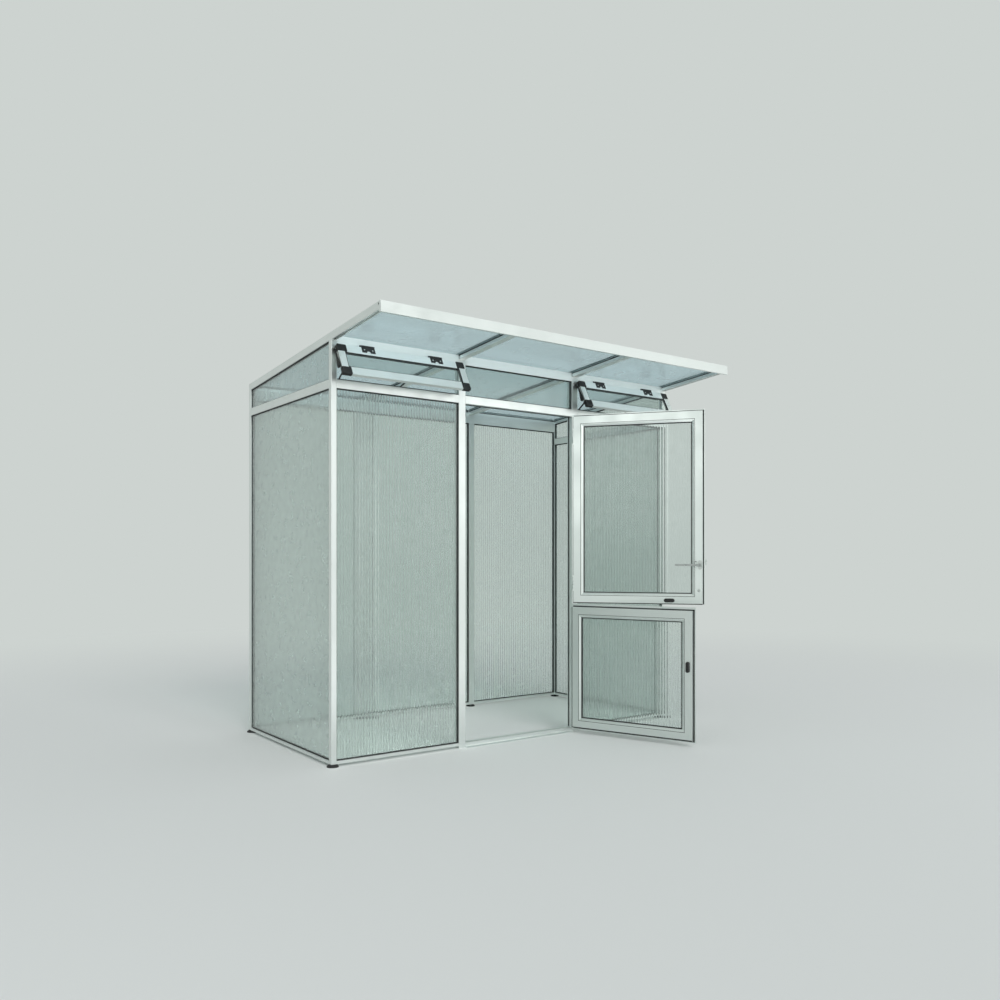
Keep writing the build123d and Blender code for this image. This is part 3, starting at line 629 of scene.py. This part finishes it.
def rib_wall(name, milk, least, most):
    """Polycarbonate, extruded, a rib of a twin-wall sheet: its edge is bright and its side clear."""
    material, add, place = new_material(name)
    # Ribs run thicker and thinner over about 50 mm as the sheet leaves the die.
    uneven = add("TexNoise", {"Vector": place, "Scale": 1 / 0.05, "Detail": 2.0})
    share = add("MapRange", {"Value": uneven, "To Min": least, "To Max": most})
    through = add("BsdfTransparent", {"Color": WHITE})
    return finished(material, add, add("MixShader", {
        0: share, 1: through, 2: scattered(add, milk)}))


def seen_directly(add):
    """1 where a ray from the camera arrives straight, mirrored or refracted, and else 0."""
    light = add("LightPath").outputs
    seen = add("Math", {0: light["Is Camera Ray"], 1: light["Is Glossy Ray"]}, operation="MAXIMUM")
    return add("Math", {0: seen, 1: light["Is Transmission Ray"]}, operation="MAXIMUM")


def pale_floor(name, shade, backdrop, clear_radius=3.0, fade_radius=9.0):
    """Seamless studio card, sprayed matt: plain and pale, and it fades into the backdrop."""
    material, add, place = new_material(name)
    distance = add("VectorMath", {0: place}, operation="LENGTH").outputs["Value"]
    far = add(
        "MapRange", {"Value": distance, "From Min": clear_radius, "From Max": fade_radius},
        interpolation_type="SMOOTHSTEP")
    factor = add("Math", {0: far, 1: seen_directly(add)}, operation="MULTIPLY")
    card = add("BsdfPrincipled", {"Base Color": rgba(shade), "Roughness": 0.8})
    glow = add("Emission", {"Color": rgba(backdrop), "Strength": 1.0})
    return finished(material, add, add("MixShader", {0: factor, 1: card, 2: glow}))


def dress(nodes, material):
    """Gives CAD nodes their finish."""
    for node in nodes:
        for slot in frame["nodes"][node].material_slots:
            slot.material = material


# Sheets.

# A sheet's finishes, in the order in which its operator lists them.
LENS, OUTER, RIB, INNER = range(4)
SPANS_PER_RIB = 4


def twin_wall(name, node, body, settings, skins):
    """Builds the twin-wall sheets that stand for a node's panes: two skins and their ribs."""
    points, faces, slots, places = [], [], [], []
    for corners, normal in solids_of(node):
        plane = SheetPlane(corners, normal)
        low, high = plane.low + settings.skin_depth, plane.high - settings.skin_depth
        first = min(a for a, b in plane.outline)
        last = max(a for a, b in plane.outline)
        spans = max(1, round((last - first) / settings.rib_spacing)) * SPANS_PER_RIB
        columns = []
        for i in range(spans + 1):
            a = first + (last - first) * i / spans
            dip = settings.skin_dip * math.sin(math.pi * (i % SPANS_PER_RIB) / SPANS_PER_RIB)
            start, end = plane.reach(a)
            columns.append(len(points))
            for depth in (low + dip, low + dip + settings.skin_thickness, high - dip):
                points += [plane.point(a, start, depth), plane.point(a, end, depth)]
            rib_place = settings.rib_spacing * i / SPANS_PER_RIB
            places += [(rib_place, start), (rib_place, end)] * 3
        for p, q in zip(columns, columns[1:]):
            # The inner skin has two faces and ends, the outer one a single face.
            faces += [
                (p, p + 1, q + 1, q), (p + 2, q + 2, q + 3, p + 3), (p + 4, q + 4, q + 5, p + 5),
                (p, q, q + 2, p + 2), (p + 1, p + 3, q + 3, q + 1),
            ]
            slots += [INNER, LENS, OUTER, INNER, INNER]
        p, q = columns[-1], columns[0]
        faces += [(p, p + 2, p + 3, p + 1), (q, q + 1, q + 3, q + 2)]
        slots += [INNER, INNER]
        # A rib has corners of its own, so that the skins stay smooth past it.
        for p in columns[::SPANS_PER_RIB]:
            corner = len(points)
            for i in (p + 2, p + 4, p + 5, p + 3):
                points.append(points[i].copy())
                places.append(places[i])
            faces.append(tuple(range(corner, corner + 4)))
            slots.append(RIB)
    piece = add_piece(name, (points, faces), skins, body, slots, smooth=True)
    piece.data.set_sharp_from_angle(angle=math.radians(30.0))
    flat = piece.data.uv_layers.new(name="sheet")
    for loop in piece.data.loops:
        flat.data[loop.index].uv = places[loop.vertex_index]
    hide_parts(node)
    return piece


# Seals.

def rubber_piece(name, shape, material, body):
    """Makes a mesh piece of rubber."""
    return add_piece(name, shape, [material], body)


def seal_rings(name, node, body, settings, material):
    """Builds the rubber seals between a node's panes and their bars, on both faces."""
    width, height = settings.width, settings.height
    profile = (
        (BITE, 0.0), (BITE, height), (BITE + 0.45 * width, height * 0.92),
        (BITE + 0.85 * width, height * 0.55), (BITE + width, height * 0.12), (BITE + width, 0.0),
    )
    shape = [], []
    for corners, normal in solids_of(node):
        plane = SheetPlane(corners, normal)
        framed_strip(shape, plane, plane.high, 1, profile)
        framed_strip(shape, plane, plane.low, -1, profile)
    return rubber_piece(name, shape, material, body)


def bead_seals_and_groove_shade(start, body, settings, material):
    """Builds the thin seal between a leaf's bars and its sheet's beads; it also paints the groove's
    shade.
    """
    plane = SheetPlane(*solids_of(start + "_pane")[0])
    outwards = plane.n.dot(LeafFrame(start).v) > 0
    # The dark strip paints the shade in the bead's groove as well as a seal.
    gap = BITE - BEAD_WIDTH
    wide, rise = settings.bead_seal_and_shade_width, BEAD_RISE
    # The seal stands 0.4 mm proud and dips 1 mm into the groove.
    proud, sunk = rise + 0.0004, rise - 0.001
    profile = (
        (gap + 0.2 * wide, sunk), (gap + 0.3 * wide, rise), (gap, proud),
        (gap - wide, proud), (gap - 1.3 * wide, rise), (gap - 1.2 * wide, sunk),
    )
    shape = [], []
    base, out = (plane.low, -1) if outwards else (plane.high, 1)
    framed_strip(shape, plane, base, out, profile)
    return rubber_piece("bead_seal_and_groove_shade_" + start + "_leaf", shape, material, body)


def hinge_cuts(start, foot, head):
    """The stretches of a leaf's hinge side that its hinges leave free."""
    # Half the gap that the flange leaves round each hinge, and how far the leaf's half of a
    # hinge starts above the hinge's middle.
    room, rise = 0.049, 0.001
    cuts = [foot]
    heights = {round(v.co.z, 3) for v in frame["nodes"][start + "_hinges"].data.vertices}
    for z in sorted(heights):
        # Places more than 100 mm apart are on different hinges.
        if z - cuts[-1] > 0.1 or len(cuts) == 1:
            cuts += [z - rise - room, z - rise + room]
    cuts.append(head)
    return [(low, high) for low, high in zip(cuts[0::2], cuts[1::2]) if high - low > 0.01]


def weather_seals(start, body, settings, material):
    """Builds the rubber seal on the flange round a leaf, left out at the hinges."""
    leaf = LeafFrame(start)
    width, height = settings.seal_width, settings.seal_height
    shape = [], []

    def strip(near, low, far, high, across):
        face = leaf.flange_face
        ends = leaf.point(near, face, low), leaf.point(far, face, high)
        bulb_strip(shape, *ends, across, -leaf.v, width, height)

    for low, high in hinge_cuts(start, leaf.foot, leaf.head):
        strip(leaf.near, low, leaf.near, high, -leaf.u)
    strip(leaf.far, leaf.foot, leaf.far, leaf.head, leaf.u)
    strip(leaf.near, leaf.head, leaf.far + width, leaf.head, Z_AXIS)
    if start == "lower":
        strip(leaf.near, leaf.foot, leaf.far + width, leaf.foot, -Z_AXIS)
    return rubber_piece("weather_seal_" + start + "_leaf", shape, material, body)


def wipers_and_gap_shade(start, body, height, material):
    """Builds the wiper at a leaf's foot and by the lower leaf's hinges; both also paint the gaps' shade.
    """
    leaf = LeafFrame(start)
    depth, edge = 0.0022, 0.0005
    # The upper leaf's wiper hangs over the gap between the leaves and paints its shade.
    foot = leaf.foot + (edge if start == "lower" else -0.0015)
    shape = [], []
    corner = leaf.point(leaf.near, leaf.inner_face, foot)
    end = leaf.point(leaf.far, leaf.inner_face, foot)
    bulb_strip(shape, corner, end, Z_AXIS, -leaf.v, height, depth)
    if start == "lower":
        end = leaf.point(leaf.near, leaf.inner_face, leaf.head - edge)
        bulb_strip(shape, corner, end, leaf.u, -leaf.v, 0.7 * height, depth)
    return rubber_piece("wiper_and_gap_shade_" + start + "_leaf", shape, material, body)


def door_stop(material):
    """Builds the rubber round the inside of the doorway, behind the shut leaves."""
    # The middle piece of the rail is the head of the doorway.
    low, high = boxes_of("front_rail")[1]
    half, head = high.x, low.z
    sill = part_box("door_sill")[1].z + 0.003
    near, wide, thick = 0.028, 0.008, 0.004
    shape = [], []
    for side in (-1, 1):
        ends = Vector((side * half, near, sill)), Vector((side * half, near, head))
        bulb_strip(shape, *ends, Y_AXIS, -side * X_AXIS, wide, thick)
    ends = Vector((-half, near, head)), Vector((half, near, head))
    bulb_strip(shape, *ends, Y_AXIS, -Z_AXIS, wide, thick)
    return rubber_piece("door_stop", shape, material, "frame")


def vent_gaskets(material):
    """Builds the gasket along each vent's lower bar and the one on the rail below it."""
    shape = [], []
    panes = sorted(solids_of("vent_panes"), key=lambda solid: solid[0][0].x)
    # On a vent the gasket ends 12 mm short of the bar's ends, 2 mm up from its edge.
    for node, (corners, normal) in zip(VENTS, panes):
        plane = SheetPlane(corners, normal)
        bars = [v.co for v in frame["nodes"][node].data.vertices]
        along = [p.dot(plane.a) for p in bars]
        low_b = min(p.dot(plane.b) for p in bars) + 0.002
        low_n = min(p.dot(plane.n) for p in bars)
        start = plane.point(min(along) + 0.012, low_b, low_n)
        end = plane.point(max(along) - 0.012, low_b, low_n)
        bulb_strip(shape, start, end, plane.b, -plane.n, 0.006, 0.003)
    # On the rail it runs between the stays and the posts, 3.5 mm clear of each.
    room, wall_end = 0.0035, 1.2
    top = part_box("front_rail")[1].z
    stays = boxes_of("vent_stays")
    for (arm, stay), post in ((stays[2:], wall_end), (stays[:2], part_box("jamb_posts")[0].x)):
        for left, right in ((arm[1].x, stay[0].x), (stay[1].x, post)):
            start, end = Vector((left + room, 0.001, top)), Vector((right - room, 0.001, top))
            bulb_strip(shape, start, end, Y_AXIS, Z_AXIS, 0.008, 0.005)
    return rubber_piece("vent_gaskets", shape, material, "frame")


# Fixings.

def screw_heads(name, places, radius, height, material, body):
    """Builds screw heads at places, each a point and a direction out of the surface."""
    shape = [], []
    profile = (
        (radius, 0.0), (radius, 0.35 * height), (0.82 * radius, 0.8 * height),
        (0.5 * radius, height), (0.42 * radius, height), (0.4 * radius, 0.45 * height),
    )
    sunk = 0.0002
    for place, out in places:
        turned(shape, place - out * sunk, out.normalized(), profile)
    return add_piece(name, shape, [material], body)


def vent_screws(sizes, steel, nylon):
    """Builds two screws in each vent hinge and one in each vent corner."""
    rays, high_up, gap = [], 2.165, 0.024
    for low, high in boxes_of("vent_hinges"):
        middle = (low.x + high.x) / 2
        for x in (middle - gap, middle + gap):
            rays.append((Vector((x, -0.3, high_up)), Y_AXIS))
    screw_heads(
        "vent_hinge_screws", spots_on("vent_hinges", rays), sizes.screw_radius,
        sizes.screw_height, steel, "frame")
    out = SheetPlane(*solids_of("vent_panes")[0]).n
    middles = [sum(box_of(corners), Vector()) / 2 for corners, _ in solids_of("vent_corners")]
    rays = [(middle + out * 0.2, -out) for middle in middles]
    screw_heads(
        "vent_corner_screws", spots_on("vent_corners", rays), sizes.screw_radius,
        sizes.screw_height, nylon, "frame")


def jamb_screws(sizes, steel):
    """Builds the screws in the hinge plates on the door post."""
    rays = []
    for corners, _ in solids_of("jamb_hinges"):
        low, high = box_of(corners)
        # The screws stand 28% across the plate, at two heights in its lower half.
        x = low.x * 0.72 + high.x * 0.28
        for share in (0.16, 0.4):
            rays.append((Vector((x, -0.3, low.z + (high.z - low.z) * share)), Y_AXIS))
    screw_heads(
        "jamb_hinge_screws", spots_on("jamb_hinges", rays), sizes.screw_radius * 0.8,
        sizes.screw_height, steel, "frame")


def lock(sizes, steel, nylon):
    """Builds the lock's ring and its black plug, and the plug above the lever."""
    leaf = LeafFrame("upper")
    ring = sizes.lock_radius
    place = leaf.point(sizes.lock_along, leaf.inner_face, sizes.lock_high)
    shape = [], []
    turned(shape, place, -leaf.v, (
        (ring, 0.0), (ring, 0.002), (0.88 * ring, 0.0034), (0.62 * ring, 0.0034),
        (0.6 * ring, 0.0026), (0.5 * ring, 0.0026), (0.48 * ring, 0.0034), (0.2 * ring, 0.0036),
    ), 32)
    add_piece("lock_ring", shape, [steel], "upper_leaf")
    shape = [], []
    plug = ((0.16 * ring, 0.0), (0.16 * ring, 0.0036), (0.1 * ring, 0.0038))
    turned(shape, place, -leaf.v, plug)
    place = leaf.point(0.746, leaf.inner_face, 1.055)
    turned(shape, place, -leaf.v, ((0.0034, 0.0), (0.0034, 0.001), (0.0022, 0.0018)))
    add_piece("lock_plug", shape, [nylon], "upper_leaf")


def rose_screws(steel):
    """Builds two screws in the lever's rose on each face of the upper leaf."""
    leaf = LeafFrame("upper")
    rays = []
    for corners, _ in solids_of("handle_roses"):
        middle = sum(corners, Vector()) / len(corners)
        inside = (middle - leaf.point(0.0, -0.02, 0.0)).dot(leaf.v) <= 0
        side = -leaf.v if inside else leaf.v
        for rise in (-0.022, 0.022):
            rays.append((middle + side * 0.1 + Z_AXIS * rise, -side))
    screw_heads(
        "rose_screws", spots_on("handle_roses", rays), 0.0028, 0.0012, steel,
        "upper_leaf")


def pull_plate(sizes, steel):
    """Builds the plate on the outer face, beside the rose, that shows past the leaf's edge."""
    leaf = LeafFrame("upper")
    beside_rose = leaf.box(("handle_roses",))[1].x + 0.0005
    foot, head = 1.036, 1.068
    outline = rounded_box(foot, beside_rose, head, leaf.far + sizes.plate_reach, 0.005)
    shape = [], []
    softened_plate(
        shape, outline, lambda a, b, n: leaf.point(b, leaf.outer_face + n, a),
        sizes.plate_depth, 0.0015)
    add_piece("pull_plate", shape, [steel], "upper_leaf")


def vent_arms(sizes, material):
    """Builds the curved arm at the left end of each vent, with the pin that joins it to the vent."""
    shape = [], []
    outline = bent_bar(ARM_PATH)
    for node in VENTS:
        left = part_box(node)[0].x - sizes.arm_gap - sizes.arm_thickness
        right = left + sizes.arm_thickness
        softened_plate(
            shape, outline, lambda a, b, n: Vector((left + n, a, b)),
            sizes.arm_thickness, 0.0012)
        pin = ((0.006, 0.0), (0.006, sizes.arm_gap + 0.001))
        turned(shape, Vector((right, *ARM_JOINT)), X_AXIS, pin)
        rivet = ((0.007, 0.0), (0.007, 0.0012), (0.005, 0.0024))
        turned(shape, Vector((left, *ARM_JOINT)), -X_AXIS, rivet)
    return add_piece("vent_arms", shape, [material], "frame")


# Stage.

def studio_floor(scene, settings):
    """Builds the floor."""
    reach = settings.floor_radius
    corners = [(-reach, -reach, 0), (reach, -reach, 0), (reach, reach, 0), (-reach, reach, 0)]
    mesh = bpy.data.meshes.new("floor")
    mesh.from_pydata(corners, [], [(0, 1, 2, 3)])
    mesh.materials.append(pale_floor("matt_studio_card", settings.floor_colour, settings.backdrop))
    floor = bpy.data.objects.new("floor", mesh)
    scene.collection.objects.link(floor)


def studio_room(scene, settings):
    """Builds the soft light from all round and the backdrop that is seen instead of it."""
    world = bpy.data.worlds.new("studio")
    scene.world = world
    world.use_nodes = True
    world.node_tree.nodes.clear()
    add = partial(add_node, world.node_tree)
    soft = add("Background", {
        "Color": rgba(settings.room_colour), "Strength": settings.room_strength})
    backdrop = add("Background", {"Color": rgba(settings.backdrop), "Strength": 1.0})
    mixed = add("MixShader", {0: seen_directly(add), 1: soft, 2: backdrop})
    add("OutputWorld", {"Surface": mixed})


def hang_lamp(scene, data, place, way):
    """Hangs a lamp at a place and points it along a direction."""
    lamp = bpy.data.objects.new(data.name, data)
    lamp.location = place
    lamp.rotation_euler = way.to_track_quat("-Z", "Y").to_euler()
    scene.collection.objects.link(lamp)
    return lamp


def studio_lamps(scene, settings):
    """Builds the wide lamp in front and the three cards of light."""
    # The lamp stands a little to the left: the front is bright and the left side lies in soft shade.
    key = bpy.data.lights.new("key_lamp", "SUN")
    key.angle = math.radians(35.0)
    key.energy = settings.key_strength
    hang_lamp(scene, key, Vector(), Vector((0.1, 0.83, -0.55)))
    # The dim, wide cards in front give the metal something bright to mirror, also under the roof.
    for name, place, target, wide, high, watts in (
        ("right_card", (3.6, -5.2, 2.6), (0.2, 0.0, 1.5), 4.6, 3.0, settings.right_card),
        ("left_card", (-4.9, -3.0, 2.7), (0.6, -0.3, 1.5), 2.4, 2.4, settings.left_card),
        ("floor_card", (-0.2, -2.1, 0.02), (-0.2, -2.09, 2.0), 3.0, 1.4, settings.floor_card),
    ):
        card = bpy.data.lights.new(name, "AREA")
        card.shape = "RECTANGLE"
        card.size, card.size_y = wide, high
        card.energy = watts
        lamp = hang_lamp(scene, card, place, Vector(target) - Vector(place))
        lamp.visible_camera = False
        lamp.visible_transmission = False


def studio_camera(scene, settings):
    """Builds the level camera."""
    data = bpy.data.cameras.new("camera")
    data.lens = settings.lens
    data.sensor_width = 36.0
    # The picture is shifted up by this share of its width.
    data.shift_y = 0.0568
    data.clip_end = 200.0
    camera = bpy.data.objects.new("camera", data)
    camera.location = settings.camera_place
    camera.rotation_euler = (math.radians(90.0), 0.0, settings.camera_turn)
    scene.collection.objects.link(camera)
    scene.camera = camera


# Operators.

class GREENHOUSE_OT_stage(Operator):
    """Builds the floor, the backdrop, the lamps and the camera"""
    bl_idname = "greenhouse.stage"
    bl_label = "Build the Stage"

    def execute(self, context):
        scene, settings = context.scene, context.scene.greenhouse_stage
        studio_floor(scene, settings)
        studio_room(scene, settings)
        studio_lamps(scene, settings)
        studio_camera(scene, settings)
        scene.view_settings.view_transform = "Standard"
        # A view through both leaves and walls crosses more skins than the renderer's usual limit.
        scene.cycles.transparent_max_bounces = 32
        return {"FINISHED"}


class GREENHOUSE_OT_aluminium(Operator):
    """Gives the frame and the leaves their anodised aluminium"""
    bl_idname = "greenhouse.aluminium"
    bl_label = "Finish the Aluminium"

    def execute(self, context):
        colours = context.scene.greenhouse_metal
        base = colours.frame_colour
        for way, axis, nodes in (
            ("lengthways", 0, LENGTHWAYS), ("depth", 1, FRONT_TO_BACK), ("upright", 2, UPRIGHT),
        ):
            dress(nodes, anodised_extrusion("anodised_aluminium_" + way, base, axis))
        dress(SLOPING, anodised_extrusion(
            "anodised_aluminium_slope", base, axis=1, turn=(ROOF_ANGLE, 0.0, 0.0)))
        # Bars in the lee of the roof keep their dust, which dulls their shine.
        dress(SHELTERED, anodised_extrusion(
            "anodised_aluminium_sheltered", base, axis=0, roughness=0.55))
        dress(HINGES, satin_metal("stamped_aluminium", base))
        # The leaves take the frame's metal, drawn darker and greener: painted shade.
        base = colours.shaded_leaf_colour
        for body, start in LEAVES:
            along = LeafFrame(start).u
            turn = (0.0, 0.0, -math.atan2(along.y, along.x))
            dress((start + "_stiles",), anodised_extrusion("anodised_leaf_shaded_upright_" + start, base))
            dress((start + "_rails",), anodised_extrusion(
                "anodised_leaf_shaded_across_" + start, base, axis=0, turn=turn))
        return {"FINISHED"}


class GREENHOUSE_OT_fittings(Operator):
    """Gives the black fittings and the lever their finishes"""
    bl_idname = "greenhouse.fittings"
    bl_label = "Finish the Fittings"

    def execute(self, context):
        colours = context.scene.greenhouse_metal
        dress(BLACK_PARTS, moulded_nylon("moulded_nylon", colours.plastic_colour))
        dress(("lever_handle",), satin_metal("satin_lever_metal", colours.lever_colour))
        dress(("handle_roses",), satin_metal("satin_rose_steel", colours.steel_colour))
        return {"FINISHED"}


class GREENHOUSE_OT_fixings(Operator):
    """Builds the screws, the lock, the pull plate and the vents' arms"""
    bl_idname = "greenhouse.fixings"
    bl_label = "Build the Fixings"

    def execute(self, context):
        sizes = context.scene.greenhouse_fittings
        colours = context.scene.greenhouse_metal
        steel = satin_metal("stainless_steel", colours.steel_colour)
        nylon = moulded_nylon("moulded_nylon_fixings", colours.plastic_colour)
        vent_screws(sizes, steel, nylon)
        jamb_screws(sizes, steel)
        lock(sizes, steel, nylon)
        rose_screws(steel)
        pull_plate(sizes, steel)
        vent_arms(sizes, nylon)
        return {"FINISHED"}


class GREENHOUSE_OT_wall_sheets(Operator):
    """Builds the twin-wall sheets of the walls, the vents and the leaves"""
    bl_idname = "greenhouse.wall_sheets"
    bl_label = "Build the Wall Sheets"

    def execute(self, context):
        settings = context.scene.greenhouse_sheets
        tint, milk, spacing = settings.wall_tint, settings.wall_milk, settings.rib_spacing
        outer = clear_skin("polycarbonate_outer_skin", tint)
        inner = flat_skin("polycarbonate_inner_skin", tint)
        ribbed = [
            lens_skin("polycarbonate_ribbed_skin", tint, milk, spacing, lens_slope=0.07, haze=0.1),
            outer, rib_wall("polycarbonate_rib", milk, 0.2, 0.4), inner,
        ]
        smooth = [
            lens_skin("polycarbonate_smooth_skin", tint, milk, spacing, lens_slope=0.01, haze=0.08),
            outer, rib_wall("polycarbonate_clear_rib", milk, 0.01, 0.04), inner,
        ]
        for nodes, skins in ((RIBBED_SHEETS, ribbed), (SMOOTH_SHEETS, smooth)):
            for node in nodes:
                twin_wall("twin_wall_" + node, node, "frame", settings, skins)
        for body, start in LEAVES:
            node = start + "_pane"
            twin_wall("twin_wall_" + node, node, body, settings, ribbed)
        return {"FINISHED"}


class GREENHOUSE_OT_roof_sheets(Operator):
    """Builds the twin-wall sheets of the roof"""
    bl_idname = "greenhouse.roof_sheets"
    bl_label = "Build the Roof Sheets"

    def execute(self, context):
        settings = context.scene.greenhouse_sheets
        tint, milk, spacing = settings.roof_tint, settings.roof_milk, settings.rib_spacing
        skins = [
            lens_skin("roof_ribbed_skin", tint, milk, spacing, lens_slope=0.01, haze=0.12),
            clear_skin("roof_outer_skin", tint),
            rib_wall("roof_rib", milk, 0.01, 0.04),
            flat_skin("roof_inner_skin", tint),
        ]
        twin_wall("twin_wall_roof_panes", "roof_panes", "frame", settings, skins)
        return {"FINISHED"}


class GREENHOUSE_OT_seals(Operator):
    """Builds the rubber seals of the sheets, the leaves, the doorway and the vents"""
    bl_idname = "greenhouse.seals"
    bl_label = "Build the Seals"

    def execute(self, context):
        settings = context.scene.greenhouse_seals
        rubber = extruded_rubber("extruded_rubber", settings.rubber)
        for node in RIBBED_SHEETS + SMOOTH_SHEETS + ("roof_panes",):
            seal_rings("seals_" + node, node, "frame", settings, rubber)
        for body, start in LEAVES:
            seal_rings("seals_" + start + "_pane", start + "_pane", body, settings, rubber)
            weather_seals(start, body, settings, rubber)
            bead_seals_and_groove_shade(start, body, settings, rubber)
            wipers_and_gap_shade(start, body, settings.wiper_and_gap_shade_height, rubber)
        door_stop(rubber)
        vent_gaskets(rubber)
        return {"FINISHED"}


class GREENHOUSE_PT_panel(Panel):
    """Lists the steps and the sizes"""
    bl_idname = "GREENHOUSE_PT_panel"
    bl_label = "Greenhouse"
    bl_space_type = "VIEW_3D"
    bl_region_type = "UI"
    bl_category = "Greenhouse"

    def draw(self, context):
        for kind in OPERATORS:
            self.layout.operator(kind.bl_idname)
        for group in GROUPS:
            box = self.layout.box()
            settings = getattr(context.scene, group)
            for name in settings.bl_rna.properties.keys():
                if name not in ("rna_type", "name"):
                    box.prop(settings, name)


OPERATORS = (
    GREENHOUSE_OT_stage,
    GREENHOUSE_OT_aluminium,
    GREENHOUSE_OT_fittings,
    GREENHOUSE_OT_fixings,
    GREENHOUSE_OT_wall_sheets,
    GREENHOUSE_OT_roof_sheets,
    GREENHOUSE_OT_seals,
)
GROUPS = {
    "greenhouse_sheets": SheetSettings,
    "greenhouse_seals": SealSettings,
    "greenhouse_fittings": FittingSettings,
    "greenhouse_metal": MetalSettings,
    "greenhouse_stage": StageSettings,
}


def register():
    for group, kind in GROUPS.items():
        bpy.utils.register_class(kind)
        setattr(bpy.types.Scene, group, PointerProperty(type=kind))
    for kind in OPERATORS + (GREENHOUSE_PT_panel,):
        bpy.utils.register_class(kind)


def unregister():
    for kind in (GREENHOUSE_PT_panel,) + OPERATORS[::-1]:
        bpy.utils.unregister_class(kind)
    for group, kind in GROUPS.items():
        delattr(bpy.types.Scene, group)
        bpy.utils.unregister_class(kind)


def main():
    register()
    bpy.ops.greenhouse.stage()
    bpy.ops.greenhouse.aluminium()
    bpy.ops.greenhouse.fittings()
    bpy.ops.greenhouse.fixings()
    bpy.ops.greenhouse.wall_sheets()
    bpy.ops.greenhouse.roof_sheets()
    bpy.ops.greenhouse.seals()


if __name__ == "__main__":
    main()
